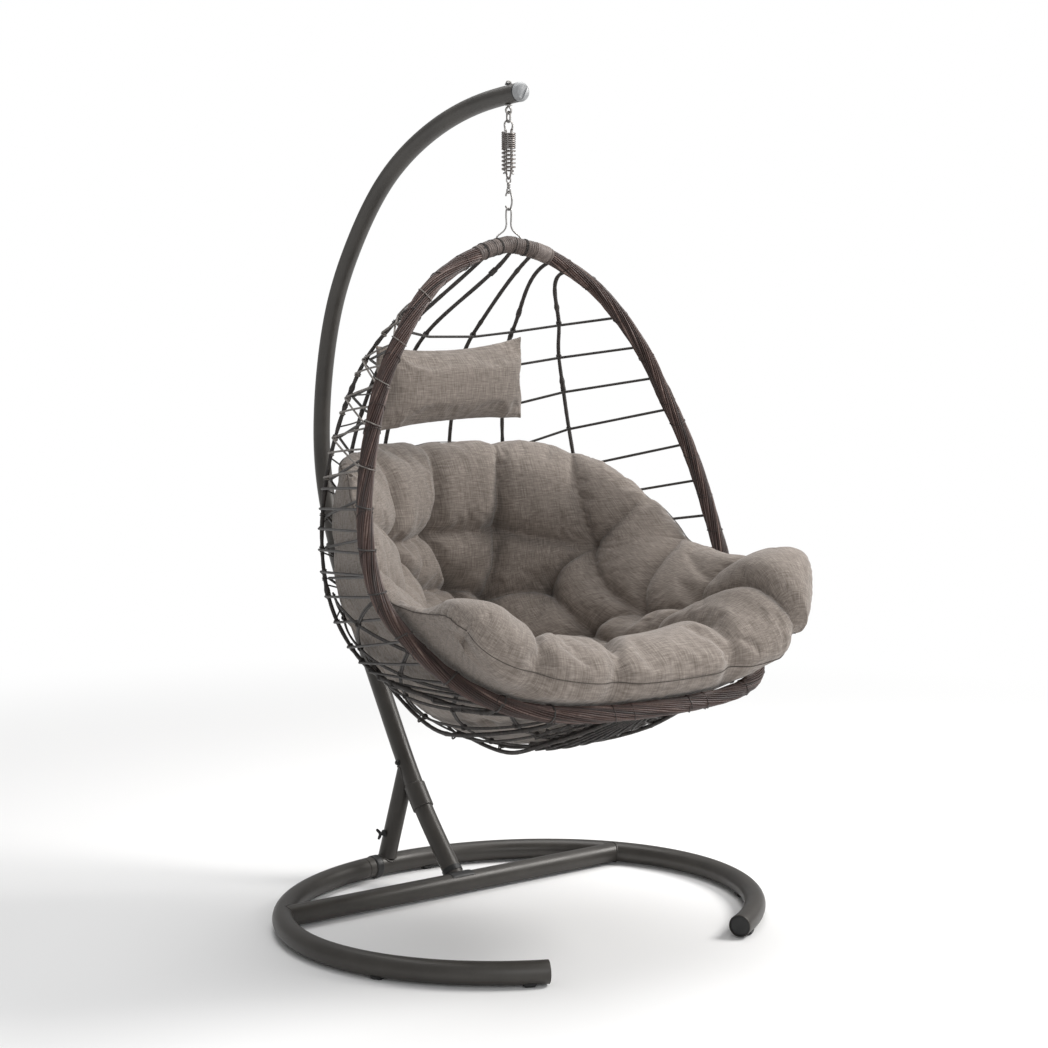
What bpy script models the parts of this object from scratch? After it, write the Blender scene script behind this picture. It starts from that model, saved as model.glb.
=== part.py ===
"""Hanging egg chair on a tubular C-base stand: a wicker basket with a padded seat, hung from a spring.

Metres, +Z up, the sitter faces -Y. The floor is z = 0 and the origin is under the middle of the whole chair.
Places are given from the middle of the base ring, which is at y = RING_Y; place() moves them to the
chair's frame.
"""

import math

import bmesh
import bpy
import numpy as np
from mathutils import Vector

# ---------------------------------------------------------------- driving dimensions
GAP = 0.0004  # left between pieces that touch
COPE_GAP = 0.0014  # left where a tube's end is shaped to sit on a faceted, bent tube
RING_Y = -0.1815  # y of the base ring's middle

RING_HALF_WIDTH = 0.576
RING_HALF_DEPTH = 0.5124
RING_TUBE = 0.0256  # radius of the base tube
PAD_HEIGHT = 0.003
RING_Z = RING_TUBE + PAD_HEIGHT
RING_END = 61.3  # degrees below the X axis where the ring stops
TEE_HALF_ANGLE = 11.0
LEG_ANGLE = 94.2
CROSSBAR_Y = 0.250
CROSSBAR_TUBE = 0.0244
WALL = 0.0016

POLE_TUBE = 0.0235
ARCH_TUBE = 0.0218
LEG_TUBE = 0.0228
POLE_LINE = [  # (y, z) of the bent pole's middle line, from the crossbar to the tip of the arch
    (0.258, 0.0286), (0.417, 0.205), (0.571, 0.436), (0.665, 0.585), (0.745, 0.722), (0.805, 0.845),
    (0.843, 0.955), (0.860, 1.055), (0.860, 1.150), (0.838, 1.300), (0.787, 1.455), (0.692, 1.606),
    (0.550, 1.752), (0.400, 1.838), (0.250, 1.888), (0.120, 1.910), (0.008, 1.918),
]
COLLAR_Z = (0.186, 0.238)
COLLAR_RADIUS = POLE_TUBE + 0.0034
POLE_JOINT_Z = 0.790
LEG_TOP_Z = 0.282
POLE_BOLT_Z = 0.292
WING_BOLT_Z = 0.112

HANG_Y = 0.050  # the hanger and the basket's top are on this vertical line
EYE_Z = 1.8798
EYE_RADIUS = 0.0075
EYE_WIRE = 0.0024
SWING_Z = EYE_Z - EYE_RADIUS  # the fore-and-aft swing turns about the eye's lowest wire
LINK_WIRE = 0.0021
SIDE_SWING_Z = 1.8530  # the sideways swing turns about the link's lowest wire
SPRING_TOP = 1.8300
SPRING_BOTTOM = 1.7430
SPRING_RADIUS = 0.0145
SPRING_WIRE = 0.0021
SPRING_TURNS = 13
BAR_WIRE = 0.0021
HOOK_TOP = 1.6960
HOOK_BOTTOM = 1.6530
HOOK_WIRE = 0.0021
YOKE_TOP = 1.6575
YOKE_WIRE = 0.0019
YOKE_LEG = [  # (x, z) of the basket yoke's right leg, from its neck down into the rim's sleeve
    (0.0070, 1.6300), (0.0072, 1.6160), (0.0180, 1.6020), (0.0345, 1.5890), (0.0355, 1.5850),
]
BAR_TIP_Z = 1.7236  # the point of the lower drawbar's V
SWIVEL_WIRE = 0.0017
SWIVEL_EYE_Z = (1.7280, 1.7150)  # top and bottom of the swivel's upper eye
SWIVEL_BARREL_Z = 1.7080  # where the swivel's barrel starts, and the swivel turns
SWIVEL_LINK_Z = (1.7022, 1.6915)  # top and bottom of the link under the barrel

RIM_TUBE = 0.0110
RIM_BORE = 0.0142  # inside of the wicker wrap and the sleeve, clear of the bent tube
RIM_RADIUS = 0.0185
SLEEVE_STATION = 2  # the top sleeve ends at this station of the rim
RIB_RADIUS = 0.0042
CORD_RADIUS = 0.0032
CORD_ROOM = 0.0026  # between a rib and the cord that passes in front of it
RIM_LINE = [  # (x, y, z) of the right half of the basket's rim, from its top to its front lip
    (0.000, 0.050, 1.575), (0.085, 0.034, 1.556), (0.170, 0.028, 1.518), (0.255, 0.017, 1.460),
    (0.347, -0.006, 1.350), (0.404, -0.020, 1.250), (0.446, -0.044, 1.150), (0.479, -0.069, 1.050),
    (0.499, -0.096, 0.950), (0.505, -0.133, 0.850), (0.489, -0.195, 0.755), (0.440, -0.304, 0.660),
    (0.370, -0.402, 0.603), (0.270, -0.458, 0.578), (0.140, -0.482, 0.568), (0.000, -0.489, 0.566),
]
BACK_LINE = [  # (y, z) of the basket's middle rib line at the same steps
    (0.050, 1.575), (0.075, 1.534), (0.110, 1.500), (0.160, 1.460),
    (0.310, 1.350), (0.378, 1.250), (0.418, 1.150), (0.440, 1.050),
    (0.454, 0.950), (0.462, 0.840), (0.448, 0.700), (0.372, 0.560),
    (0.225, 0.449), (0.010, 0.400), (-0.244, 0.446), (-0.489, 0.566),
]
RIB_ANGLES = (-50.0, -29.0, -12.0, 12.0, 29.0, 50.0)
RIB_STARTS = (-0.135, -0.056, 0.016, 0.068, 0.120, 0.168)  # x of each rib's weld at the top of the rim
RIB_ENDS = {12.0: 0.100, 29.0: 0.235, 50.0: 0.375}  # x of each rib's weld at the front lip
RIB_LEVEL = 0.24  # share of the basket's height above which a rib runs straight to its upper weld
RIB_LEAD = 0.11  # share over which a rib runs from its own line to its weld
CORD_LEVELS = [  # (height at the rim, height at the back) of each lacing cord
    (1.410, 1.364), (1.338, 1.270), (1.264, 1.150), (1.190, 1.020), (1.104, 0.892),
    (1.018, 0.800), (0.934, 0.735), (0.858, 0.684),
]
NET_OFFSET = 0.0140
NET_THICKNESS = 0.0050

BASKET_STATIONS = 24  # steps along each half of the rim

CUSHION_LINES = [  # middle surface, back to front: (y, z) at the middle, then (x, y, z) at the right border
    ((0.375, 1.105), (0.372, 0.165, 1.050)), ((0.372, 0.950), (0.440, 0.025, 0.960)),
    ((0.368, 0.800), (0.468, -0.075, 0.870)), ((0.330, 0.665), (0.478, -0.160, 0.845)),
    ((0.235, 0.555), (0.482, -0.250, 0.835)), ((0.085, 0.505), (0.488, -0.320, 0.830)),
    ((-0.090, 0.498), (0.495, -0.375, 0.825)), ((-0.270, 0.535), (0.497, -0.420, 0.820)),
    ((-0.410, 0.592), (0.485, -0.455, 0.790)), ((-0.520, 0.628), (0.430, -0.480, 0.690)),
]
CUSHION_HALF_THICKNESS = ((0, 0.087), (0.36, 0.084), (0.6, 0.050), (1, 0.0345))  # from its back to its front
CUSHION_SIDE_THINNING = 0.40  # how much thinner the pad is at its sides than at its middle
CUSHION_EDGE = 0.15  # share of the width and length over which the cushion's edge rounds off
CUSHION_CLEAR = 0.027  # between the cushion and the basket's surface, where the ribs, cords and net are
CORD_SAG = 0.026  # how much further in the straight cords run, half way from the outer rib to the rim

PILLOW_SIZE = (0.405, 0.100, 0.200)
PILLOW_PLACE = (-0.030, 0.200, 1.253)
PILLOW_TURN = 5.0  # degrees about the vertical

COLOURS = {  # linear base colour, metallic, roughness
    "powder_coat": ((0.070, 0.065, 0.059), 0.25, 0.45),
    "black_plastic": ((0.012, 0.012, 0.012), 0.0, 0.55),
    "grey_cap": ((0.45, 0.46, 0.47), 0.0, 0.40),
    "zinc": ((0.42, 0.40, 0.38), 1.0, 0.35),
    "wicker": ((0.085, 0.048, 0.038), 0.0, 0.50),
    "sleeve_tape": ((0.150, 0.115, 0.100), 0.0, 0.60),
    "cord": ((0.022, 0.019, 0.018), 0.0, 0.60),
    "fabric": ((0.300, 0.262, 0.232), 0.0, 0.90),
}


# ---------------------------------------------------------------- helpers
def material(name):
    found = bpy.data.materials.get(name)
    if found:
        return found
    colour, metallic, roughness = COLOURS[name]
    made = bpy.data.materials.new(name)
    made.use_nodes = True
    shader = made.node_tree.nodes["Principled BSDF"]
    shader.inputs["Base Color"].default_value = (*colour, 1.0)
    shader.inputs["Metallic"].default_value = metallic
    shader.inputs["Roughness"].default_value = roughness
    return made


def add_object(name, mesh, finish):
    mesh.materials.clear()
    mesh.materials.append(material(finish))
    mesh.shade_smooth()
    mesh.set_sharp_from_angle(angle=math.radians(40))
    made = bpy.data.objects.new(name, mesh)
    bpy.context.scene.collection.objects.link(made)
    return made


def from_faces(name, points, faces, finish):
    mesh = bpy.data.meshes.new(name)
    mesh.from_pydata([tuple(p) for p in points], [], faces)
    work = bmesh.new()
    work.from_mesh(mesh)
    bmesh.ops.recalc_face_normals(work, faces=work.faces)
    work.to_mesh(mesh)
    work.free()
    return add_object(name, mesh, finish)


def flat_to_flat(sides):
    """How far in the flats of a faceted round piece lie, as a share of its radius."""
    return math.cos(math.pi / sides)


def bore_around(radius, sides=10):
    """Radius of a faceted bore whose flats clear a piece of the given radius."""
    return (radius + GAP) / flat_to_flat(sides)


def fit_inside(bore, sides=10):
    """Radius of a piece that clears the flats of a faceted bore."""
    return bore * flat_to_flat(sides) - GAP


def place(point):
    """A point measured from the base ring's middle, in the chair's own frame."""
    x, y, z = point
    return Vector((x, y + RING_Y, z))


def spline(points, knots, wanted):
    """Natural cubic spline through points at knots, read at the wanted values."""
    p = np.asarray(points, float)
    t = np.asarray(knots, float)
    h = np.diff(t)
    n = len(t)
    system = np.eye(n)
    right = np.zeros_like(p)
    for i in range(1, n - 1):
        system[i, i - 1 : i + 2] = h[i - 1], 2 * (h[i - 1] + h[i]), h[i]
        right[i] = 6 * ((p[i + 1] - p[i]) / h[i] - (p[i] - p[i - 1]) / h[i - 1])
    bend = np.linalg.solve(system, right)
    w = np.asarray(wanted, float)
    i = np.clip(np.searchsorted(t, w) - 1, 0, n - 2)
    a = (t[i + 1] - w)[:, None]
    b = (w - t[i])[:, None]
    d = h[i][:, None]
    cubic = (bend[i] * a**3 + bend[i + 1] * b**3) / (6 * d)
    return cubic + (p[i] / d - bend[i] * d / 6) * a + (p[i + 1] / d - bend[i + 1] * d / 6) * b


def smooth(points, count):
    """Evenly read points of a smooth curve through the given ones."""
    p = np.asarray([tuple(q) for q in points], float)
    knots = np.concatenate([[0], np.cumsum(np.linalg.norm(np.diff(p, axis=0), axis=1))])
    return [Vector(q) for q in spline(p, knots, np.linspace(0, knots[-1], count))]


def rings_along(path, radius, sides, closed):
    """Circles of points around a path, turned as little as possible from one to the next."""
    path = [Vector(p) for p in path]
    count = len(path)
    tangents = []
    for i in range(count):
        before = path[i - 1] if i or closed else path[i]
        after = path[(i + 1) % count] if i < count - 1 or closed else path[i]
        tangents.append((after - before).normalized())
    start = tangents[0].orthogonal().normalized()
    side = start
    rings = []
    for i, (point, tangent) in enumerate(zip(path, tangents)):
        side = (side - tangent * side.dot(tangent)).normalized()
        up = tangent.cross(side)
        ring = []
        for k in range(sides):
            angle = 2 * math.pi * (k + 0.5) / sides
            ring.append(point + side * (radius * math.cos(angle)) + up * (radius * math.sin(angle)))
        rings.append(ring)
    return rings


def tube(name, path, radius, finish, bore=0.0, sides=10, closed=False):
    """A round bar along a path, or a pipe with open ends where a bore is given."""
    outer = rings_along(path, radius, sides, closed)
    points = [p for ring in outer for p in ring]
    count = len(outer)
    faces = []
    spans = count if closed else count - 1

    def skin(first):
        for i in range(spans):
            a = first + i * sides
            b = first + ((i + 1) % count) * sides
            for k in range(sides):
                n = (k + 1) % sides
                faces.append((a + k, a + n, b + n, b + k))

    skin(0)
    if bore:
        inner_start = len(points)
        points += [p for ring in rings_along(path, bore, sides, closed) for p in ring]
        skin(inner_start)
        for end in (0, (count - 1) * sides):
            for k in range(sides):
                n = (k + 1) % sides
                faces.append((end + k, end + n, inner_start + end + n, inner_start + end + k))
    elif not closed:
        faces.append(tuple(range(sides)))
        faces.append(tuple(range((count - 1) * sides, count * sides)))
    return from_faces(name, points, faces, finish)


def turned(name, profile, finish, base, axis=(0, 0, 1), sides=12):
    """A lathe-turned solid: profile is (radius, height) pairs from the bottom middle to the top middle."""
    direction = Vector(axis).normalized()
    side = direction.orthogonal().normalized()
    up = direction.cross(side)
    base = Vector(base)
    points = []
    rows = []
    for radius, height in profile:
        centre = base + direction * height
        if radius == 0:
            rows.append([len(points)])
            points.append(centre)
            continue
        rows.append(list(range(len(points), len(points) + sides)))
        for k in range(sides):
            angle = 2 * math.pi * k / sides
            points.append(centre + side * (radius * math.cos(angle)) + up * (radius * math.sin(angle)))
    faces = []
    for low, high in zip(rows, rows[1:]):
        for k in range(sides):
            n = (k + 1) % sides
            corners = [low[k % len(low)], low[n % len(low)], high[n % len(high)], high[k % len(high)]]
            faces.append(tuple(dict.fromkeys(corners)))
    if len(rows[0]) > 1 and len(rows[-1]) > 1:
        for k in range(sides):
            n = (k + 1) % sides
            faces.append((rows[0][k], rows[0][n], rows[-1][n], rows[-1][k]))
    return from_faces(name, points, faces, finish)


def saddle(name, path, inner, outer, finish, facing, half_angle, steps=8):
    """A curved plate that hugs a tube along a path, centred on the side that facing points to."""
    path = [Vector(p) for p in path]
    points = []
    for i, point in enumerate(path):
        tangent = (path[min(i + 1, len(path) - 1)] - path[max(i - 1, 0)]).normalized()
        front = Vector(facing)
        front = (front - tangent * front.dot(tangent)).normalized()
        side = tangent.cross(front)
        flats = math.cos(math.radians(half_angle / steps))
        for radius in (inner / flats, outer):
            for k in range(steps + 1):
                angle = math.radians(half_angle) * (2 * k / steps - 1)
                points.append(point + front * (radius * math.cos(angle)) + side * (radius * math.sin(angle)))
    row = steps + 1
    block = 2 * row
    faces = []
    for i in range(len(path) - 1):
        a, b = i * block, (i + 1) * block
        for k in range(steps):
            faces.append((a + k, a + k + 1, b + k + 1, b + k))
            faces.append((a + row + k, a + row + k + 1, b + row + k + 1, b + row + k))
        for k in (0, steps):
            faces.append((a + k, b + k, b + row + k, a + row + k))
    for a in (0, (len(path) - 1) * block):
        for k in range(steps):
            faces.append((a + k, a + k + 1, a + row + k + 1, a + row + k))
    return from_faces(name, points, faces, finish)


def combine(target, other, operation):
    """Applies a Boolean to the target; the other object is used up."""
    step = target.modifiers.new(operation.lower(), "BOOLEAN")
    step.operation = operation
    step.object = other
    view = bpy.context.evaluated_depsgraph_get()
    result = bpy.data.meshes.new_from_object(target.evaluated_get(view))
    old = target.data
    target.modifiers.clear()
    target.data = result
    result.name = old.name
    bpy.data.meshes.remove(old)
    used = other.data
    bpy.data.objects.remove(other)
    bpy.data.meshes.remove(used)
    return target


def arc(centre, radius, start, end, count, plane="xz"):
    """Points of an arc in a vertical plane; angles in degrees, 0 along +X (or +Y), 90 up."""
    made = []
    for i in range(count):
        angle = math.radians(start + (end - start) * i / (count - 1))
        across = radius * math.cos(angle)
        up = radius * math.sin(angle)
        shift = (across, 0, up) if plane == "xz" else (0, across, up)
        made.append(Vector(centre) + Vector(shift))
    return made


# ---------------------------------------------------------------- stand
def ring_point(degrees, z=RING_Z):
    angle = math.radians(degrees)
    return place((RING_HALF_WIDTH * math.cos(angle), RING_HALF_DEPTH * math.sin(angle), z))


def ring_arc(start, end, count):
    """Points along the base ring; a short step at each end keeps the end faces square to the ring."""
    first = 0.4 if end > start else -0.4
    angles = [start + (end - start) * i / (count - 1) for i in range(count)]
    angles[1:1] = [start + first]
    angles[-1:-1] = [end - first]
    return [ring_point(a) for a in angles]


def pole_path(z_from, z_to, count):
    """Points of the pole's middle line between two heights of its lower, rising part, or to its tip."""
    fine = smooth([place((0, y, z)) for y, z in POLE_LINE], 2000)
    first = next(i for i, p in enumerate(fine) if p.z >= z_from)
    last = len(fine) - 1 if z_to is None else next(i for i, p in enumerate(fine) if p.z >= z_to)
    return [fine[round(first + (last - first) * i / (count - 1))] for i in range(count)]


def build_base():
    bore = RING_TUBE - WALL
    seam = 0.12  # degrees of the ring left open at each seam
    right = ring_arc(-RING_END, 90 - TEE_HALF_ANGLE - seam, 20)
    left = [Vector((-p.x, p.y, p.z)) for p in right]
    for name, path in (("base_arc_right", right), ("base_arc_left", left)):
        tube(name, path, RING_TUBE, "powder_coat", bore)
    tee_path = ring_arc(90 - TEE_HALF_ANGLE, 90 + TEE_HALF_ANGLE, 7)
    tee = tube("base_rear_tee", tee_path, RING_TUBE, "powder_coat", bore)
    foot = ring_point(LEG_ANGLE)
    top = pole_path(LEG_TOP_Z, LEG_TOP_Z + 0.01, 2)[0]
    rise = (top - foot).normalized()
    inside = [foot + rise * 0.020, foot + rise * 0.075]
    combine(tee, tube("spigot", inside, fit_inside(LEG_TUBE - WALL), "powder_coat"), "UNION")
    for name, path in (("base_end_plug_right", right), ("base_end_plug_left", left)):
        inward = (path[1] - path[0]).normalized()
        fit = fit_inside(bore) - GAP
        profile = [(0, 0), (fit - 0.002, 0), (fit, 0.002), (fit, 0.014), (0, 0.014)]
        turned(name, profile, "black_plastic", path[0] + inward * 0.0015, inward)


def build_crossbar():
    reach = RING_HALF_WIDTH * math.sqrt(1 - (CROSSBAR_Y / RING_HALF_DEPTH) ** 2)
    ends = [place((-reach, CROSSBAR_Y, RING_Z)), place((reach, CROSSBAR_Y, RING_Z))]
    bar = tube("base_crossbar", ends, CROSSBAR_TUBE, "powder_coat", CROSSBAR_TUBE - WALL)
    angle = math.degrees(math.asin(CROSSBAR_Y / RING_HALF_DEPTH))
    for side in (angle, 180 - angle):
        ring = ring_arc(side - 8, side + 8, 9)
        cutter = tube("cutter", ring, RING_TUBE + COPE_GAP, "powder_coat", sides=20)
        combine(bar, cutter, "DIFFERENCE")


def glide(name, degrees):
    """A pad under the ring, with a flat sole on the floor."""
    path = ring_arc(degrees - 1.3, degrees + 1.3, 3)
    outer = RING_TUBE + 2 * PAD_HEIGHT
    pad = saddle(name, path, RING_TUBE + GAP, outer, "black_plastic", (0, 0, -1), 40)
    for corner in pad.data.vertices:
        corner.co.z = max(corner.co.z, 0.0)


def build_glides():
    for side, start in (("right", 0), ("left", 180)):
        sign = 1 if side == "right" else -1
        glide(f"glide_front_{side}", start - sign * 57.0)
        glide(f"glide_side_{side}", start - sign * 22.0)
    glide("glide_rear_right", 90 - TEE_HALF_ANGLE + 3.0)
    clip_at = 90 + TEE_HALF_ANGLE - 3.2
    clip = ring_arc(clip_at - 1.1, clip_at + 1.1, 3)
    facing = (0.25, -1, -0.35)
    saddle("glide_rear_clip", clip, RING_TUBE + GAP, RING_TUBE + PAD_HEIGHT, "black_plastic", facing, 140)


def build_pole():
    foot = pole_path(RING_Z, COLLAR_Z[0] + 0.024, 5)
    lower = tube("pole_foot_tube", foot, POLE_TUBE, "powder_coat", POLE_TUBE - WALL)
    bar = [place((-0.08, CROSSBAR_Y, RING_Z)), place((0.08, CROSSBAR_Y, RING_Z))]
    gasket_radius = RING_TUBE + 0.0016
    combine(lower, tube("cutter", bar, gasket_radius + COPE_GAP, "powder_coat", sides=20), "DIFFERENCE")
    gasket_path = [place((x, CROSSBAR_Y, RING_Z)) for x in (-0.030, 0.036)]
    saddle("pole_foot_gasket", gasket_path, RING_TUBE, gasket_radius, "black_plastic", (0, 0.35, 1), 62)
    middle = pole_path(COLLAR_Z[0] + 0.028, POLE_JOINT_Z, 10)
    tube("pole_middle_tube", middle, POLE_TUBE, "powder_coat", POLE_TUBE - WALL)
    bore = bore_around(POLE_TUBE + GAP)
    tube("pole_collar", pole_path(*COLLAR_Z, 4), COLLAR_RADIUS, "powder_coat", bore)
    upper = pole_path(POLE_JOINT_Z + 0.004, None, 22)
    arch = tube("pole_arch", upper, ARCH_TUBE, "powder_coat", ARCH_TUBE - WALL)
    joint = pole_path(POLE_JOINT_Z - 0.035, POLE_JOINT_Z + 0.035, 4)
    tube("pole_joint_sleeve", joint, COLLAR_RADIUS, "powder_coat", bore)
    hang = place((0, HANG_Y, 0))
    hole = tube("cutter", [hang + Vector((0, 0, 1.85)), hang + Vector((0, 0, 1.98))], 0.0046, "zinc")
    combine(arch, hole, "DIFFERENCE")


def build_arch_cap():
    tip = pole_path(0.05, None, 400)
    outward = (tip[-1] - tip[-2]).normalized()
    r = ARCH_TUBE
    fit = fit_inside(r - WALL)
    profile = [
        (0, -0.014), (fit, -0.014), (fit, GAP), (r + 0.0008, GAP),
        (r + 0.0008, 0.003), (r - 0.0035, 0.0125), (0, 0.0165),
    ]
    cap = turned("arch_end_cap", profile, "grey_cap", tip[-1], outward, sides=16)
    slot_at = tip[-1] + outward * 0.018
    slant = Vector((0.5, 0, 1)).normalized() * 0.03
    slot = tube("cutter", [slot_at - slant, slot_at + slant], 0.0058, "grey_cap", sides=4)
    combine(cap, slot, "DIFFERENCE")


def build_rear_leg():
    foot = ring_point(LEG_ANGLE)
    top = pole_path(LEG_TOP_Z, LEG_TOP_Z + 0.01, 2)[0]
    leg = tube("rear_leg", [foot, top], LEG_TUBE, "powder_coat", LEG_TUBE - WALL)
    neighbours = (
        (ring_arc(LEG_ANGLE - 8, LEG_ANGLE + 8, 9), RING_TUBE),
        (pole_path(0.13, 0.42, 20), POLE_TUBE),
        (pole_path(COLLAR_Z[0] - 0.003, COLLAR_Z[1] + 0.002, 5), COLLAR_RADIUS),
    )
    for path, radius in neighbours:
        cutter = tube("cutter", path, radius + COPE_GAP, "powder_coat", sides=20)
        combine(leg, cutter, "DIFFERENCE")
    share = (WING_BOLT_Z - foot.z) / (top.z - foot.z)
    seat = foot + (top - foot) * share
    build_wing_bolt(seat + Vector((-LEG_TUBE - 5 * GAP, 0, 0)))
    bolt_seat = pole_path(POLE_BOLT_Z, POLE_BOLT_Z + 0.01, 2)[0] + Vector((-POLE_TUBE - GAP, 0, 0))
    profile = [(0, 0), (0.0078, 0), (0.0078, 0.003), (0.0055, 0.0058), (0, 0.0068)]
    turned("pole_bolt", profile, "black_plastic", bolt_seat, (-1, 0, 0))


def build_wing_bolt(seat):
    """A screw with two rounded wings, turning about X."""
    profile = [(0, 0), (0.0085, 0), (0.0085, 0.004), (0.0048, 0.006), (0.0048, 0.015), (0, 0.0162)]
    bolt = turned("wing_bolt", profile, "black_plastic", seat, (-1, 0, 0))
    for side in (-1, 1):
        lean = Vector((-0.010, 0.004 * side, 0.011 * side))
        root = seat + Vector((-0.0115, 0, 0))
        line = [root, root + lean * 0.6, root + lean * 1.15]
        combine(bolt, tube("blade", line, 0.0036, "black_plastic", sides=8), "UNION")


# ---------------------------------------------------------------- hanger
def hanger(z):
    return place((0, HANG_Y, z))


def loop(centre_top, centre_bottom, half_width, plane, count=5):
    """An oval link's closed middle line between two heights."""
    top = hanger(centre_top - half_width)
    bottom = hanger(centre_bottom + half_width)
    upper = arc(top, half_width, 0, 180, count, plane)
    lower = arc(bottom, half_width, 180, 360, count, plane)
    return upper + lower


def build_eye_bolt():
    clear = 0.0009  # the washers stay off the slightly sloping tube
    arch = pole_path(1.0, None, 400)
    middle = min(arch[200:], key=lambda p: abs(p.y - hanger(0).y)).z
    tube_top = middle + ARCH_TUBE + clear
    underside = middle - ARCH_TUBE - clear
    eye = tube("eye_bolt", arc(hanger(EYE_Z), EYE_RADIUS, 0, 330, 12), EYE_WIRE, "zinc", closed=True, sides=8)
    shank = tube("shank", [hanger(EYE_Z + EYE_RADIUS - 0.001), hanger(tube_top + 0.0052)], 0.0038, "zinc")
    combine(eye, shank, "UNION")
    ring = [(0.0046, 0), (0.0085, 0), (0.0085, 0.0022), (0.0046, 0.0022)]
    turned("eye_bolt_lower_washer", ring, "zinc", hanger(underside - 0.0022))
    turned("eye_bolt_upper_washer", ring, "black_plastic", hanger(tube_top))
    nut = [
        (0, 0.0040), (0.0046, 0.0040), (0.0046, 0), (0.0068, 0), (0.0068, 0.0030), (0.0055, 0.0058),
        (0.0025, 0.0072), (0, 0.0075),
    ]
    turned("dome_nut", nut, "zinc", hanger(tube_top + 0.0022 + GAP))


def build_links():
    link_top = SWING_Z + EYE_WIRE + LINK_WIRE + GAP
    tube("eye_link", loop(link_top, SIDE_SWING_Z, 0.0062, "yz", 6), LINK_WIRE, "zinc", closed=True, sides=8)

    bend = 0.0118
    leg = 0.0094
    crown = SIDE_SWING_Z + LINK_WIRE + BAR_WIRE + GAP
    top = arc(hanger(crown - bend), bend, 0, 180, 7)
    left = hanger(SPRING_TOP + 0.003) + Vector((-leg, 0, 0))
    low_left = hanger(SPRING_BOTTOM - 0.0064) + Vector((-leg, 0, 0))
    hook_left = low_left + Vector((-0.0062, 0, 0))
    left_run = [left, low_left, hook_left]
    right_run = [Vector((-p.x, p.y, p.z)) for p in reversed(left_run)]
    path = right_run + top + left_run
    tube("upper_drawbar", path, BAR_WIRE, "zinc", sides=8)

    foot = hanger(SPRING_TOP + 0.0064)
    low = SPRING_BOTTOM - 0.0015
    path = []
    for side in (1, -1):
        along = Vector((0, side, 0))
        run = [
            foot + along * (leg + 0.0062), foot + along * leg, hanger(low) + along * leg,
            hanger(BAR_TIP_Z + 0.004) + along * 0.0052,
        ]
        path += run if side == 1 else [hanger(BAR_TIP_Z)] + run[::-1]
    tube("lower_drawbar", path, BAR_WIRE, "zinc", sides=8)

    per_turn = 8
    steps = per_turn * SPRING_TURNS
    coil = []
    for i in range(steps + 1):
        angle = 2 * math.pi * i / per_turn
        rise = (SPRING_TOP - SPRING_BOTTOM) * i / steps
        shift = Vector((SPRING_RADIUS * math.cos(angle), SPRING_RADIUS * math.sin(angle), 0))
        coil.append(hanger(SPRING_BOTTOM + rise) + shift)
    tube("tension_spring", coil, SPRING_WIRE, "zinc", sides=5)


def build_swivel_and_hook():
    eye = loop(*SWIVEL_EYE_Z, 0.0058, "xz", 6)
    top = tube("swivel_eye", eye, SWIVEL_WIRE, "zinc", closed=True, sides=8)
    profile = [(0, 0), (0.0036, 0), (0.0040, 0.001), (0.0040, 0.006), (0.0025, 0.0085), (0, 0.0085)]
    combine(top, turned("barrel", profile, "zinc", hanger(SWIVEL_BARREL_Z), sides=10), "UNION")
    link = loop(*SWIVEL_LINK_Z, 0.0052, "xz", 6)
    low = tube("swivel_link", link, SWIVEL_WIRE, "zinc", closed=True, sides=8)
    profile = [(0, 0), (0.0025, 0), (0.0040, 0.0018), (0.0040, 0.0052), (0, 0.0052)]
    combine(low, turned("collar", profile, "zinc", hanger(SWIVEL_LINK_Z[0]), sides=10), "UNION")

    middle = (HOOK_TOP + HOOK_BOTTOM) / 2
    height = (HOOK_TOP - HOOK_BOTTOM) / 2
    hook = []
    for i in range(15):
        angle = math.radians(150 - 300 * i / 14)
        across = -0.0125 * math.cos(angle)
        hook.append(hanger(middle + height * math.sin(angle)) + Vector((0, across, 0)))
    tube("carrier_hook", hook, HOOK_WIRE, "zinc", sides=8)

    neck = 0.0070
    top_arc = arc(hanger(YOKE_TOP - neck), neck, 0, 180, 7)
    right = [Vector((x, 0, 0)) + hanger(z) for x, z in YOKE_LEG]
    left = [Vector((-p.x, p.y, p.z)) for p in right]
    tube("basket_yoke", right[::-1] + top_arc + left, YOKE_WIRE, "zinc", sides=8)


# ---------------------------------------------------------------- basket
def basket_tables():
    steps = np.linspace(0, 1, len(RIM_LINE))
    fine = np.linspace(0, 1, 1501)
    rim = spline(RIM_LINE, steps, fine)
    back = spline(BACK_LINE, steps, fine)
    return fine, rim, back


def basket_point(t, degrees, inset=0.0):
    """A point of the basket's surface: t runs from its top to its lip, degrees from -90 to 90 rim to rim."""
    fine, rim, back = TABLES

    def surface(t, degrees):
        edge = [np.interp(t, fine, rim[:, k]) for k in range(3)]
        spine = [np.interp(t, fine, back[:, k]) for k in range(2)]
        across = math.sin(math.radians(degrees))
        behind = math.cos(math.radians(degrees))
        return Vector((edge[0] * across, edge[1] + (spine[0] - edge[1]) * behind,
                       edge[2] + (spine[1] - edge[2]) * behind))

    here = surface(t, degrees)
    if not inset:
        return place(here)
    along = surface(min(t + 0.004, 1), degrees) - surface(max(t - 0.004, 0), degrees)
    around = surface(t, min(degrees + 2, 90)) - surface(t, max(degrees - 2, -90))
    inward = along.cross(around).normalized()
    if inward.dot(Vector((0, -0.05, 0.95)) - here) < 0:
        inward = -inward
    return place(here + inward * inset)


def rim_point(t, side=1):
    fine, rim, _ = TABLES
    x, y, z = (np.interp(t, fine, rim[:, k]) for k in range(3))
    return place((side * x, y, z))


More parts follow.
